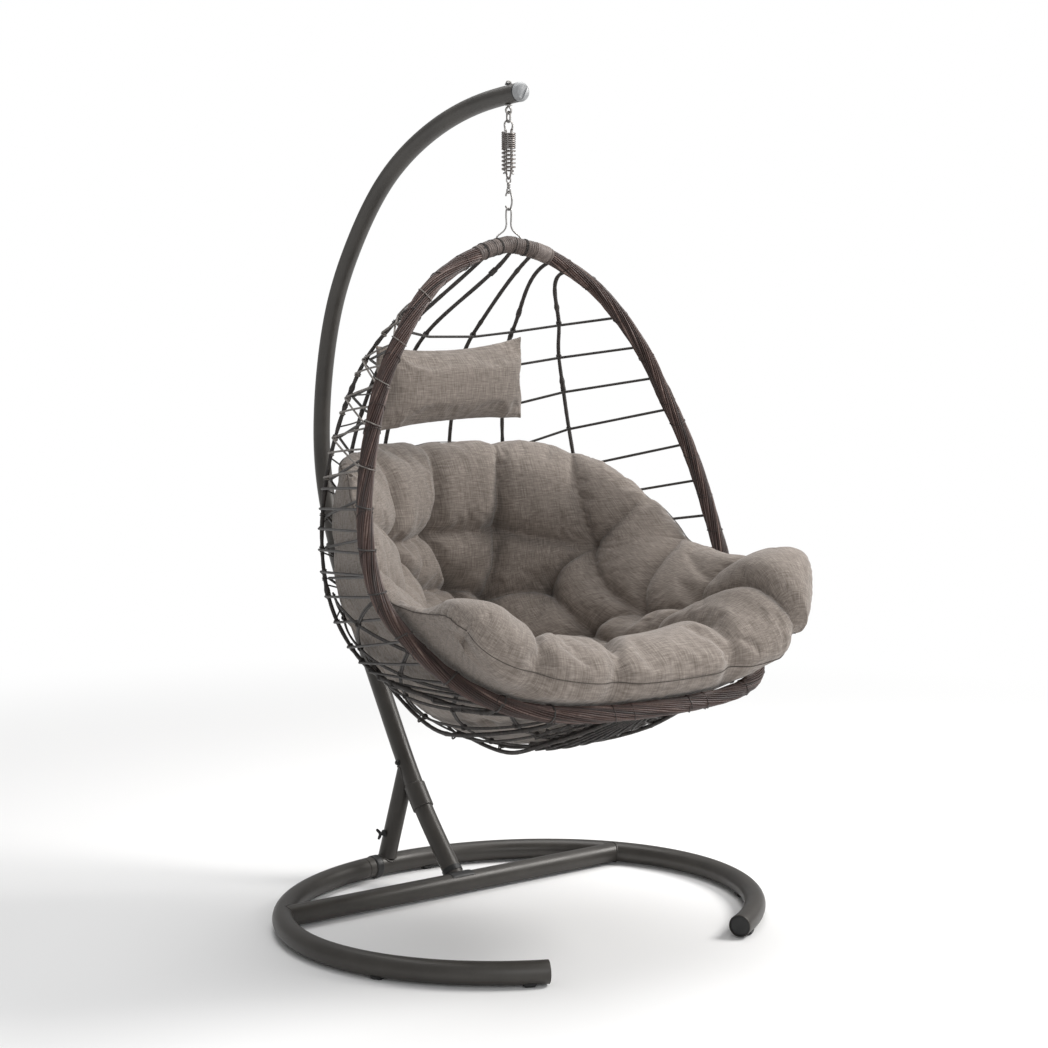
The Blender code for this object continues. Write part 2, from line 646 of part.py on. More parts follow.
def rim_backward(t, side=1):
    """The direction, square to the rim, in which the basket's surface leaves it."""
    fine, rim, back = TABLES
    lean = [np.interp(t, fine, back[:, k]) - np.interp(t, fine, rim[:, k + 1]) for k in range(2)]
    along = (rim_point(min(t + 0.002, 1), side) - rim_point(max(t - 0.002, 0), side)).normalized()
    away = Vector((0, lean[0], lean[1]))
    return (away - along * away.dot(along)).normalized()


def t_where(values, wanted):
    """The first t at which one of the tables crosses a wanted value."""
    fine = TABLES[0]
    past = values >= wanted if values[0] < wanted else values <= wanted
    return float(fine[int(np.argmax(past))])


def off_the_rim(point):
    """Distance of a point from the rim's middle line."""
    rim = TABLES[1][::5] + np.array([0, RING_Y, 0])
    near = np.array([abs(point.x), point.y, point.z])
    return float(np.linalg.norm(rim - near, axis=1).min())


def rim_path(first):
    """The rim's middle line, once around, from a station right of its top to the same one on the left."""
    right = [rim_point(i / BASKET_STATIONS) for i in range(first, BASKET_STATIONS + 1)]
    return right + [Vector((-p.x, p.y, p.z)) for p in right[-2::-1]]


def build_rim():
    whole = rim_path(0)
    seam = Vector((0.0006, 0, 0))  # the bent tube's two ends meet at the top
    whole[0] += seam
    whole[-1] -= seam
    tube("rim_tube", whole, RIM_TUBE, "powder_coat", RIM_TUBE - 0.0015, sides=6)
    joint = SLEEVE_STATION / BASKET_STATIONS
    square_ends = 0.004  # short end steps keep the end faces square to the rim
    start = [rim_point(joint + 0.0004), rim_point(joint + square_ends)]
    finish = [Vector((-p.x, p.y, p.z)) for p in start[::-1]]
    wrapped = start + rim_path(SLEEVE_STATION)[1:-1] + finish
    tube("rim_wicker", wrapped, RIM_RADIUS, "wicker", RIM_BORE, sides=8)
    half = [rim_point(i / BASKET_STATIONS) for i in range(SLEEVE_STATION)]
    half += [rim_point(joint - square_ends), rim_point(joint - 0.0004)]
    across = [Vector((-p.x, p.y, p.z)) for p in half[:0:-1]] + half
    sleeve = tube("rim_top_sleeve", across, RIM_RADIUS + 0.0012, "sleeve_tape", RIM_BORE, sides=10)
    for side in (1, -1):
        x, z = YOKE_LEG[-1]
        line = [Vector((side * x, 0, 0)) + hanger(z + shift) for shift in (0.03, -0.006)]
        combine(sleeve, tube("cutter", line, 0.0034, "sleeve_tape"), "DIFFERENCE")


def build_ribs():
    for number, angle in enumerate(RIB_ANGLES, start=1):
        side = 1 if angle > 0 else -1
        upper_side = 1 if RIB_STARTS[number - 1] > 0 else -1
        start = t_where(TABLES[1][:, 0], abs(RIB_STARTS[number - 1]))
        lip = TABLES[1][:, 0].copy()
        lip[: int(np.argmax(lip))] = lip.max()
        end = t_where(lip, RIB_ENDS[abs(angle)])
        reach = RIM_RADIUS + 0.0030
        first = max(RIB_LEVEL, start + RIB_LEAD)
        top = rim_point(start, upper_side)
        path = [top + rim_backward(start, upper_side) * d for d in (reach, reach + 0.006)]
        for i in range(17):
            t = first + (end - first) * i / 17
            ease = math.sin(min((end - t) / RIB_LEAD, 1.0) * math.pi / 2)
            point = basket_point(t, side * (90 - (90 - abs(angle)) * ease))
            if off_the_rim(point) > reach + 0.016:
                path.append(point)
        path += [rim_point(end, side) + rim_backward(end, side) * d for d in (reach + 0.010, reach)]
        tube(f"rib_{number}", smooth(path, 22), RIB_RADIUS, "cord", sides=6)


def build_cords():
    fine, rim, back = TABLES
    inset = RIB_RADIUS + CORD_RADIUS + CORD_ROOM
    for number, (at_rim, at_back) in enumerate(CORD_LEVELS, start=1):
        rim_t = t_where(rim[:, 2], at_rim)
        back_t = t_where(back[:, 1], at_back)
        path = [rim_point(rim_t, -1) + rim_backward(rim_t, -1) * (RIM_RADIUS + 0.0030)]
        for angle in RIB_ANGLES:
            share = abs(math.sin(math.radians(angle))) ** 1.5
            path.append(basket_point(back_t + (rim_t - back_t) * share, angle, inset))
        path.append(rim_point(rim_t, 1) + rim_backward(rim_t, 1) * (RIM_RADIUS + 0.0030))
        tube(f"lacing_cord_{number}", path, CORD_RADIUS, "cord", sides=6)


def shell(name, t_range, angle_range, inner, outer, finish, rows=9, columns=14):
    """A curved plate between two insets of the basket's surface."""
    points = []
    for inset in (outer, inner):
        for i in range(rows):
            t = t_range[0] + (t_range[1] - t_range[0]) * i / (rows - 1)
            for k in range(columns):
                degrees = angle_range[0] + (angle_range[1] - angle_range[0]) * k / (columns - 1)
                points.append(basket_point(t, degrees, inset))
    size = rows * columns
    faces = []
    for first in (0, size):
        for i in range(rows - 1):
            for k in range(columns - 1):
                a = first + i * columns + k
                faces.append((a, a + 1, a + columns + 1, a + columns))
    edge = [k for k in range(columns)]
    edge += [i * columns + columns - 1 for i in range(1, rows)]
    edge += [size - 1 - k for k in range(1, columns)]
    edge += [i * columns for i in range(rows - 2, 0, -1)]
    for a, b in zip(edge, edge[1:] + edge[:1]):
        faces.append((a, b, b + size, a + size))
    return from_faces(name, points, faces, finish)


def basket_samples():
    """Points of the basket's surface, the direction into the basket, and how far in the cords reach there."""
    places = []
    inwards = []
    reaches = []
    for t in np.linspace(0.36, 1, 40):
        for degrees in np.linspace(-88, 88, 45):
            here = basket_point(t, degrees)
            places.append(here)
            inwards.append((basket_point(t, degrees, 0.01) - here).normalized())
            reaches.append(CUSHION_CLEAR + CORD_SAG * max(0, 1 - ((abs(degrees) - 70) / 20) ** 2))
    return np.array(places), np.array(inwards), np.array(reaches)


def kept_clear(point, samples, extra):
    """Moves a point into the basket until it clears the cords, and off the rim."""
    places, inwards, reaches = samples
    here = np.array(point)
    near = int(np.argmin(np.linalg.norm(places - here, axis=1)))
    lacking = reaches[near] + extra - float((here - places[near]) @ inwards[near])
    if lacking > 0:
        here = here + inwards[near] * lacking
    rim = TABLES[1][::5] + np.array([0, RING_Y, 0])
    if here[0] < 0:
        rim = rim * np.array([-1, 1, 1])
    away = here - rim[int(np.argmin(np.linalg.norm(rim - here, axis=1)))]
    distance = float(np.linalg.norm(away))
    wanted = RIM_RADIUS + 0.006 + extra
    if distance < wanted:
        here = here + away / distance * (wanted - distance)
    return Vector(here)


def build_cushion():
    """A pad that lines the basket and rolls over its front lip: two skins that meet along the border."""
    rows, columns = 15, 15
    samples = basket_samples()
    steps = np.linspace(0, 1, len(CUSHION_LINES))
    along = [(1 - math.cos(math.pi * i / (rows - 1))) / 2 for i in range(rows)]
    across = [-math.cos(math.pi * k / (columns - 1)) for k in range(columns)]
    middle = spline([line[0] for line in CUSHION_LINES], steps, along)
    border = spline([line[1] for line in CUSHION_LINES], steps, along)

    def half_thickness(v, u):
        inside = min(v, 1 - v, (1 - abs(u)) / 2) / CUSHION_EDGE
        full = float(np.interp(v, *zip(*CUSHION_HALF_THICKNESS)))
        beside = min(max((abs(u) - 0.45) / 0.45, 0), 1) * min(max((0.85 - v) / 0.25, 0), 1)
        return full * math.sqrt(1 - (1 - min(inside, 1)) ** 2) * (1 - CUSHION_SIDE_THINNING * beside)

    sheet = []
    for v, centre, side in zip(along, middle, border):
        line = []
        for u in across:
            turn = math.radians(90 * u)
            y = side[1] + (centre[0] - side[1]) * math.cos(turn)
            z = side[2] + (centre[1] - side[2]) * math.cos(turn)
            point = place((side[0] * math.sin(turn), y, z))
            line.append(kept_clear(point, samples, half_thickness(v, u)))
        sheet.append(line)

    points = []
    index = {}
    for skin in (1, -1):
        for i in range(rows):
            for k in range(columns):
                on_border = i in (0, rows - 1) or k in (0, columns - 1)
                if on_border and skin == -1:
                    index[skin, i, k] = index[1, i, k]
                    continue
                down = sheet[min(i + 1, rows - 1)][k] - sheet[max(i - 1, 0)][k]
                over = sheet[i][min(k + 1, columns - 1)] - sheet[i][max(k - 1, 0)]
                normal = over.cross(down).normalized()
                point = sheet[i][k] + normal * (skin * half_thickness(along[i], across[k]))
                if skin == -1:
                    point = kept_clear(point, samples, 0)
                index[skin, i, k] = len(points)
                points.append(point)
    faces = []
    for skin in (1, -1):
        for i in range(rows - 1):
            for k in range(columns - 1):
                corners = ((i, k), (i, k + 1), (i + 1, k + 1), (i + 1, k))
                faces.append(tuple(index[skin, a, b] for a, b in corners))
    from_faces("seat_cushion", points, faces, "fabric")


def build_pillow():
    """A pillow with pointed corners: two crowned skins that meet along its seam."""
    rows, columns = 7, 11
    width, depth, height = PILLOW_SIZE
    spin = math.radians(PILLOW_TURN)
    points = []
    index = {}
    for skin in (1, -1):
        for i in range(rows):
            for k in range(columns):
                if i in (0, rows - 1) or k in (0, columns - 1):
                    if skin == -1:
                        index[skin, i, k] = index[1, i, k]
                        continue
                u = -math.cos(math.pi * k / (columns - 1))
                v = -math.cos(math.pi * i / (rows - 1))
                crown = (1 - u**4) ** 0.5 * (1 - v**4) ** 0.5
                x = width / 2 * u * (1 - 0.05 * (1 - v**2))
                z = height / 2 * v * (1 - 0.10 * (1 - u**2))
                y = skin * depth / 2 * crown
                across = x * math.cos(spin) - y * math.sin(spin)
                behind = x * math.sin(spin) + y * math.cos(spin)
                index[skin, i, k] = len(points)
                points.append(place(Vector(PILLOW_PLACE) + Vector((across, behind, z))))
    faces = []
    for skin in (1, -1):
        for i in range(rows - 1):
            for k in range(columns - 1):
                corners = ((i, k), (i, k + 1), (i + 1, k + 1), (i + 1, k))
                faces.append(tuple(index[skin, a, b] for a, b in corners))
    from_faces("head_pillow", points, faces, "fabric")


TABLES = basket_tables()


def main():
    for old in list(bpy.data.objects):
        bpy.data.objects.remove(old)
    build_base()
    build_crossbar()
    build_glides()
    build_pole()
    build_arch_cap()
    build_rear_leg()
    build_eye_bolt()
    build_links()
    build_swivel_and_hook()
    build_rim()
    build_ribs()
    build_cords()
    shell("seat_net", (0.69, 0.955), (-74, 74), NET_OFFSET + NET_THICKNESS, NET_OFFSET, "cord")
    build_cushion()
    build_pillow()


main()
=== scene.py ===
"""Looks of the hanging egg chair: fine surfaces, cords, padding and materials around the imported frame.

Metres, +Z up, the sitter faces -Y. The driving sizes repeat those that the CAD parts are made from.
"""

import math

import bpy
import numpy as np
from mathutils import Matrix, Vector


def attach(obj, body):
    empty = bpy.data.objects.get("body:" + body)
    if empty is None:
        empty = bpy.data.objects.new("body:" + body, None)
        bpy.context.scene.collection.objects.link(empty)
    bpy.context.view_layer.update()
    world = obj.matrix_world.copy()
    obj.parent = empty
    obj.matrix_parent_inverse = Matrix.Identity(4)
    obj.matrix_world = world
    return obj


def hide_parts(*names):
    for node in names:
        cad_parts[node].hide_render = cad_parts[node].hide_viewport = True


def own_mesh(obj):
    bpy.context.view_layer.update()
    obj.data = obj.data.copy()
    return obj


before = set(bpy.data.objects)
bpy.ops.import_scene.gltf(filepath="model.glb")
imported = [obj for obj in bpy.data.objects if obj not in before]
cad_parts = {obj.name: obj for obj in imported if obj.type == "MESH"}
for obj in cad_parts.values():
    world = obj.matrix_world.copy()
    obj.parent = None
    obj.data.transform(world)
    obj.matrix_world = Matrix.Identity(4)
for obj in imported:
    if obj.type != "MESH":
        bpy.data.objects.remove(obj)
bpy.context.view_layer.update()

# ---------------------------------------------------------------- driving dimensions, as in the CAD
RING_Y = -0.1815  # middle of the base ring, seen from the origin
RING_HALF_WIDTH = 0.576
RING_HALF_DEPTH = 0.5124
RING_TUBE = 0.0256
PAD_HEIGHT = 0.003
RING_Z = RING_TUBE + PAD_HEIGHT
RING_END = 61.3
TEE_HALF_ANGLE = 11.0
LEG_ANGLE = 94.2
CROSSBAR_Y = 0.250
CROSSBAR_TUBE = 0.0244
WALL = 0.0016
POLE_TUBE = 0.0235
ARCH_TUBE = 0.0218
LEG_TUBE = 0.0228
TUBE_SIDES = 40
TUBE_ROUNDING = 0.0007
POLE_LINE = [  # (y, z) of the bent pole's middle line, from the crossbar to the tip of the arch
    (0.258, 0.0286), (0.417, 0.205), (0.571, 0.436), (0.665, 0.585), (0.745, 0.722), (0.805, 0.845),
    (0.843, 0.955), (0.860, 1.055), (0.860, 1.150), (0.838, 1.300), (0.787, 1.455), (0.692, 1.606),
    (0.550, 1.752), (0.400, 1.838), (0.250, 1.888), (0.120, 1.910), (0.008, 1.918),
]
COLLAR_Z = (0.186, 0.238)
COLLAR_RADIUS = POLE_TUBE + 0.0034
POLE_JOINT_Z = 0.790
LEG_TOP_Z = 0.282
POLE_BOLT_Z = 0.292
WING_BOLT_Z = 0.112

HANG_Y = 0.050  # the hanger and the basket's top are on this vertical line
EYE_Z = 1.8798
EYE_RADIUS = 0.0075
EYE_WIRE = 0.0024
WIRE = 0.0021
SWING_Z = EYE_Z - EYE_RADIUS
SIDE_SWING_Z = 1.8530
SPRING_TOP = 1.8300
SPRING_BOTTOM = 1.7430
SPRING_RADIUS = 0.0145
BAR_TIP_Z = 1.7236  # the point of the lower drawbar's V
HOOK_TOP = 1.6960
HOOK_BOTTOM = 1.6530
YOKE_TOP = 1.6575
YOKE_LEG = [(0.0070, 1.6300), (0.0072, 1.6160), (0.0180, 1.6020), (0.0345, 1.5890), (0.0355, 1.5850)]

RIM_RADIUS = 0.0185
SLEEVE_SHARE = 2 / 24  # the top sleeve ends at this share of the rim's half
RIB_RADIUS = 0.0042
CORD_RADIUS = 0.0032
RIM_LINE = [  # (x, y, z) of the right half of the basket's rim, from its top to its front lip
    (0.000, 0.050, 1.575), (0.085, 0.034, 1.556), (0.170, 0.028, 1.518), (0.255, 0.017, 1.460),
    (0.347, -0.006, 1.350), (0.404, -0.020, 1.250), (0.446, -0.044, 1.150), (0.479, -0.069, 1.050),
    (0.499, -0.096, 0.950), (0.505, -0.133, 0.850), (0.489, -0.195, 0.755), (0.440, -0.304, 0.660),
    (0.370, -0.402, 0.603), (0.270, -0.458, 0.578), (0.140, -0.482, 0.568), (0.000, -0.489, 0.566),
]
BACK_LINE = [  # (y, z) of the basket's middle rib line at the same steps
    (0.050, 1.575), (0.075, 1.534), (0.110, 1.500), (0.160, 1.460),
    (0.310, 1.350), (0.378, 1.250), (0.418, 1.150), (0.440, 1.050),
    (0.454, 0.950), (0.462, 0.840), (0.448, 0.700), (0.372, 0.560),
    (0.225, 0.449), (0.010, 0.400), (-0.244, 0.446), (-0.489, 0.566),
]
RIB_ANGLES = (-50.0, -29.0, -12.0, 12.0, 29.0, 50.0)
RIB_STARTS = (-0.135, -0.056, 0.016, 0.068, 0.120, 0.168)
RIB_ENDS = {12.0: 0.100, 29.0: 0.235, 50.0: 0.375}
RIB_LEAD = 0.11  # share of the rim over which a rib runs from its weld to its own line
RIB_LEVEL = 0.24
CORD_LEVELS = [  # (height at the rim, height at the back) of each lacing cord
    (1.410, 1.364), (1.338, 1.270), (1.264, 1.150), (1.190, 1.020), (1.104, 0.892),
    (1.018, 0.800), (0.934, 0.735), (0.858, 0.684),
]
CUSHION_LINES = [  # middle surface, back to front: (y, z) at the middle, then (x, y, z) at both borders
    ((0.375, 1.105), (0.372, 0.165, 1.050), (-0.372, 0.165, 1.050)),
    ((0.372, 0.950), (0.440, 0.025, 0.960), (-0.446, 0.030, 0.965)),
    ((0.368, 0.800), (0.468, -0.075, 0.870), (-0.478, -0.066, 0.880)),
    ((0.330, 0.665), (0.482, -0.165, 0.845), (-0.486, -0.120, 0.815)),
    ((0.235, 0.555), (0.495, -0.250, 0.835), (-0.486, -0.180, 0.790)),
    ((0.085, 0.505), (0.510, -0.320, 0.830), (-0.486, -0.245, 0.785)),
    ((-0.090, 0.498), (0.552, -0.386, 0.816), (-0.486, -0.310, 0.785)),
    ((-0.270, 0.535), (0.578, -0.431, 0.800), (-0.486, -0.360, 0.790)),
    ((-0.410, 0.592), (0.528, -0.461, 0.728), (-0.482, -0.395, 0.780)),
    ((-0.520, 0.628), (0.430, -0.485, 0.662), (-0.462, -0.415, 0.765)),
]
CUSHION_HALF_THICKNESS = ((0, 0.087), (0.36, 0.084), (0.6, 0.064), (0.8, 0.074), (1, 0.076))
CUSHION_EDGE = 0.15
CUSHION_SIDE_THINNING = (0.62, 0.40)  # share by which the pad thins at its left and right side
CUSHION_CLEAR = 0.022
CORD_SAG = 0.024
CUSHION_CUT = (1.30, 1.15)  # the pad's cloth, laid flat
PILLOW_SIZE = (0.455, 0.100, 0.200)
PILLOW_PLACE = (-0.058, 0.200, 1.253)
PILLOW_TURN = 5.0
PILLOW_ROLL = 2.6

random = np.random.default_rng(7)
MIRROR = np.array([-1, 1, 1])


# ---------------------------------------------------------------- curves
def place(points):
    """Points measured from the base ring's middle, in the chair's own frame."""
    return np.asarray(points, float) + np.array([0, RING_Y, 0])


def unit(vectors):
    vectors = np.asarray(vectors, float)
    return vectors / np.maximum(np.linalg.norm(vectors, axis=-1, keepdims=True), 1e-12)


def spline(points, knots, wanted):
    """Natural cubic spline through points at knots, read at the wanted values."""
    p = np.asarray(points, float)
    t = np.asarray(knots, float)
    h = np.diff(t)
    n = len(t)
    system = np.eye(n)
    right = np.zeros_like(p)
    for i in range(1, n - 1):
        system[i, i - 1 : i + 2] = h[i - 1], 2 * (h[i - 1] + h[i]), h[i]
        right[i] = 6 * ((p[i + 1] - p[i]) / h[i] - (p[i] - p[i - 1]) / h[i - 1])
    bend = np.linalg.solve(system, right)
    w = np.asarray(wanted, float)
    i = np.clip(np.searchsorted(t, w) - 1, 0, n - 2)
    a = (t[i + 1] - w)[:, None]
    b = (w - t[i])[:, None]
    d = h[i][:, None]
    cubic = (bend[i] * a**3 + bend[i + 1] * b**3) / (6 * d)
    return cubic + (p[i] / d - bend[i] * d / 6) * a + (p[i + 1] / d - bend[i + 1] * d / 6) * b


def lengths_along(path):
    return np.concatenate([[0], np.cumsum(np.linalg.norm(np.diff(path, axis=0), axis=1))])


def smooth(points, step):
    """A smooth curve through points, read about every step."""
    p = np.asarray(points, float)
    knots = lengths_along(p)
    return even(spline(p, knots, np.linspace(0, knots[-1], 12 * len(p))), step)


def even(path, step):
    """The same path with points an even step apart."""
    path = np.asarray(path, float)
    run = lengths_along(path)
    wanted = np.linspace(0, run[-1], max(2, round(run[-1] / step) + 1))
    return np.stack([np.interp(wanted, run, path[:, k]) for k in range(3)], axis=1)


def arc(centre, radius, start, end, count, plane="xz"):
    """Points of an arc in a vertical plane; angles in degrees, 0 along +X (or +Y), 90 up."""
    angle = np.radians(np.linspace(start, end, count))
    shift = np.zeros((count, 3))
    shift[:, 0 if plane == "xz" else 1] = radius * np.cos(angle)
    shift[:, 2] = radius * np.sin(angle)
    return np.asarray(centre, float) + shift


def square_to(axis):
    """Two directions square to an axis and to each other."""
    axis = unit(axis)
    first = unit(np.cross(axis, (0, 0, 1) if abs(axis[2]) < 0.9 else (1, 0, 0)))
    return first, np.cross(axis, first)


def helix(centre, axis, radius, turns, pitch, start=0.0, per_turn=14):
    """Points of a few turns around an axis, centred on a point."""
    first, second = square_to(axis)
    count = max(4, int(turns * per_turn))
    angle = start + np.linspace(0, 2 * math.pi * turns, count)
    rise = np.linspace(-0.5, 0.5, count) * turns * pitch
    around = np.cos(angle)[:, None] * first + np.sin(angle)[:, None] * second
    return np.asarray(centre) + radius * around + rise[:, None] * unit(axis)


# ---------------------------------------------------------------- meshes
def frames_along(path, closed=False):
    """Tangent, side and up of each point of a path, turned as little as possible from one to the next."""
    ahead = np.roll(path, -1, axis=0)
    behind = np.roll(path, 1, axis=0)
    if not closed:
        ahead[-1] = path[-1]
        behind[0] = path[0]
    tangent = unit(ahead - behind)
    side = np.empty_like(path)
    current = square_to(tangent[0])[0]
    for i, along in enumerate(tangent):
        current = current - along * current.dot(along)
        current = current / math.sqrt(current.dot(current))
        side[i] = current
    return tangent, side, np.cross(tangent, side)


def grid_faces(rows, columns, wrap_rows=False, wrap_columns=False):
    i = np.arange(rows if wrap_rows else rows - 1)[:, None]
    k = np.arange(columns if wrap_columns else columns - 1)[None, :]
    below = (i + 1) % rows * columns
    beside = (k + 1) % columns
    corners = (i * columns + k, i * columns + beside, below + beside, below + k)
    return np.stack([c.ravel() for c in np.broadcast_arrays(*corners)], axis=1)


def sweep(path, radius, sides=16, closed=False, rounding=0.0, bore=0.0):
    """A round bar along a path, as (points, faces, grain).

    Grain is metres along, metres around, share around. The radius is a number, one for each
    point, or one for each point and side. A bore leaves the ends open.
    """
    path = np.asarray(path, float)
    tangent, side, up = frames_along(path, closed)
    run = lengths_along(path)
    radii = np.asarray(radius, float)
    if radii.ndim == 1:
        radii = radii[:, None]
    radii = np.broadcast_to(radii, (len(path), sides)).copy()
    if rounding or bore:
        steps = [(rounding * (1 - math.cos(a)), rounding * (1 - math.sin(a))) for a in (0, 0.5, 1.0)]
        if bore:
            steps = [(0.014, radii[0, 0] - bore), (0, radii[0, 0] - bore)] + steps
        rings = []
        for end, sense in ((0, 1), (-1, -1)):
            rings.append((
                np.array([path[end] + tangent[end] * sense * offset for offset, _ in steps]),
                np.array([radii[end] - drop for _, drop in steps]),
            ))
        first = path[0] + tangent[0] * rounding
        last = path[-1] - tangent[-1] * rounding
        more = len(steps)
        path = np.concatenate([rings[0][0], [first], path[1:-1], [last], rings[1][0][::-1]])
        radii = np.concatenate([rings[0][1], radii, rings[1][1][::-1]])
        tangent, side, up = (np.concatenate([v[:1].repeat(more, 0), v, v[-1:].repeat(more, 0)])
                             for v in (tangent, side, up))
        run = np.concatenate([np.full(more, run[0]), run, np.full(more, run[-1])])
    angle = 2 * math.pi * (np.arange(sides) + 0.5) / sides
    around = np.cos(angle)[None, :, None] * side[:, None] + np.sin(angle)[None, :, None] * up[:, None]
    points = (path[:, None] + around * radii[..., None]).reshape(-1, 3)
    grain = np.empty((len(path), sides, 3))
    grain[..., 0] = run[:, None]
    grain[..., 1] = angle[None, :] * radii.mean()
    grain[..., 2] = (angle / (2 * math.pi))[None, :]
    faces = [tuple(f) for f in grid_faces(len(path), sides, wrap_rows=closed, wrap_columns=True).tolist()]
    if not closed and not bore:
        faces.append(tuple(range(sides))[::-1])
        faces.append(tuple(range(len(points) - sides, len(points))))
    return points, faces, grain.reshape(-1, 3)


def lathe(profile, base, axis=(0, 0, 1), sides=40):
    """A turned solid: profile is (radius, height) from the bottom middle to the top middle."""
    axis = unit(axis)
    first, second = square_to(axis)
    profile = np.array([(max(r, 1e-5), h) for r, h in profile])
    angle = 2 * math.pi * np.arange(sides) / sides
    around = np.cos(angle)[:, None] * first + np.sin(angle)[:, None] * second
    points = np.asarray(base) + profile[:, 1, None, None] * axis + profile[:, 0, None, None] * around
    faces = [tuple(f) for f in grid_faces(len(profile), sides, wrap_columns=True).tolist()]
    faces.append(tuple(range(sides))[::-1])
    faces.append(tuple(range((len(profile) - 1) * sides, len(profile) * sides)))
    grain = np.zeros((len(profile), sides, 3))
    grain[..., 0] = profile[:, 1, None]
    grain[..., 1] = angle[None, :] * profile[:, 0].max()
    return points.reshape(-1, 3), faces, grain.reshape(-1, 3)


def piece(name, parts, finish, body, slot, replaces=(), sharp=40):
    """One visible object from swept or turned parts, riding on its body."""
    points = np.concatenate([p for p, _, _ in parts])
    grain = np.concatenate([g for _, _, g in parts])
    faces = []
    offset = 0
    for part_points, part_faces, _ in parts:
        faces += [tuple(c + offset for c in face) for face in part_faces]
        offset += len(part_points)
    mesh = bpy.data.meshes.new(name)
    mesh.from_pydata(points.tolist(), [], faces)
    attribute = mesh.attributes.new("grain", "FLOAT_VECTOR", "POINT")
    attribute.data.foreach_set("vector", grain.ravel())
    mesh.materials.append(finish)
    mesh.shade_smooth()
    mesh.set_sharp_from_angle(angle=math.radians(sharp))
    made = bpy.data.objects.new(name, mesh)
    bpy.context.scene.collection.objects.link(made)
    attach(made, body)
    if replaces:
        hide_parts(*replaces)
    return made


def fine(name, parts, finish, body, slot, **more):
    """A piece that takes the place of the CAD solid of that name."""
    return piece(name + "_fine", parts, finish, body, slot, [name], **more)


def subdivided(target):
    step = target.modifiers.new("smooth", "SUBSURF")
    step.levels = step.render_levels = 1


# ---------------------------------------------------------------- materials
class Paint:
    """A Principled material, with short calls for its nodes."""

    def __init__(self, name, colour, roughness, metallic=0.0, **fixed):
        self.material = bpy.data.materials.new(name)
        self.material.use_nodes = True
        self.tree = self.material.node_tree
        self.shader = self.tree.nodes["Principled BSDF"]
        self.shader.inputs["Base Color"].default_value = (*colour, 1)
        self.shader.inputs["Roughness"].default_value = roughness
        self.shader.inputs["Metallic"].default_value = metallic
        for key, value in fixed.items():
            self.shader.inputs[key.replace("_", " ").title().replace("Ior", "IOR")].default_value = value

    def node(self, kind, inputs=None, output=0, **settings):
        """Adds a node; inputs are values or other nodes' sockets, by name or number."""
        added = self.tree.nodes.new("ShaderNode" + kind)
        for key, value in settings.items():
            setattr(added, key, value)
        for key, value in (inputs or {}).items():
            if isinstance(value, bpy.types.NodeSocket):
                self.tree.links.new(value, added.inputs[key])
            else:
                added.inputs[key].default_value = value
        return added.outputs[output]

    def math(self, operation, first, second=0.0, clamp=False):
        return self.node("Math", {0: first, 1: second}, operation=operation, use_clamp=clamp)

    def grain(self, scale=(1, 1, 1)):
        read = self.node("Attribute", attribute_name="grain", output="Vector")
        return self.node("Mapping", {"Vector": read, "Scale": scale})

    def grain_parts(self):
        """The grain's three numbers, one socket each."""
        return self.node("SeparateXYZ", {0: self.grain()}).node.outputs

    def object_place(self, scale=(1, 1, 1)):
        read = self.node("TexCoord", output="Object")
        return self.node("Mapping", {"Vector": read, "Scale": scale})

    def noise(self, vector, scale=1.0, detail=3.0, roughness=0.55):
        inputs = {"Vector": vector, "Scale": scale, "Detail": detail, "Roughness": roughness}
        return self.node("TexNoise", inputs)

    def ramp(self, value, *stops):
        """A colour ramp with (place, colour or grey) stops."""
        added = self.tree.nodes.new("ShaderNodeValToRGB")
        elements = added.color_ramp.elements
        while len(elements) < len(stops):
            elements.new(0.5)
        for element, (where, colour) in zip(elements, stops):
            element.position = where
            shade = (colour,) * 3 if isinstance(colour, (int, float)) else colour
            element.color = (*shade, 1)
        self.tree.links.new(value, added.inputs[0])
        return added.outputs[0]

    def mix(self, share, first, second, blend="MIX"):
        added = self.tree.nodes.new("ShaderNodeMix")
        added.data_type = "RGBA"
        added.blend_type = blend
        for key, value in ((0, share), (6, first), (7, second)):
            if isinstance(value, bpy.types.NodeSocket):
                self.tree.links.new(value, added.inputs[key])
            elif key:
                added.inputs[key].default_value = (*value, 1)
            else:
                added.inputs[key].default_value = value
        return added.outputs[2]

    def colour(self, socket):
        self.tree.links.new(socket, self.shader.inputs["Base Color"])

    def rough(self, socket):
        self.tree.links.new(socket, self.shader.inputs["Roughness"])

    def bump(self, *layers):
        """Bumps on top of each other: (height socket, strength, distance in metres)."""
        normal = None
        for height, strength, distance in layers:
            inputs = {"Height": height, "Strength": strength, "Distance": distance}
            if normal:
                inputs["Normal"] = normal
            normal = self.node("Bump", inputs)
        self.tree.links.new(normal, self.shader.inputs["Normal"])


def powder_coat():
    """Satin anthracite powder coat: orange peel, fine fleck, and worn lighter patches."""
    paint = Paint("powder_coat_fine", (0.050, 0.046, 0.041), 0.40, 0.2)
    place_on = paint.object_place()
    fleck = paint.noise(place_on, 900, 2)
    cloud = paint.noise(place_on, 9, 4)
    base = paint.mix(paint.ramp(cloud, (0.35, 0), (0.7, 1)), (0.041, 0.037, 0.033), (0.058, 0.053, 0.047))
    paint.colour(paint.mix(paint.ramp(fleck, (0.60, 0), (0.72, 0.55)), base, (0.095, 0.088, 0.080)))
    paint.rough(paint.ramp(cloud, (0.3, 0.36), (0.75, 0.50)))
    paint.bump((paint.noise(place_on, 420, 2), 0.30, 0.0003), (fleck, 0.25, 0.0001))
    return paint.material


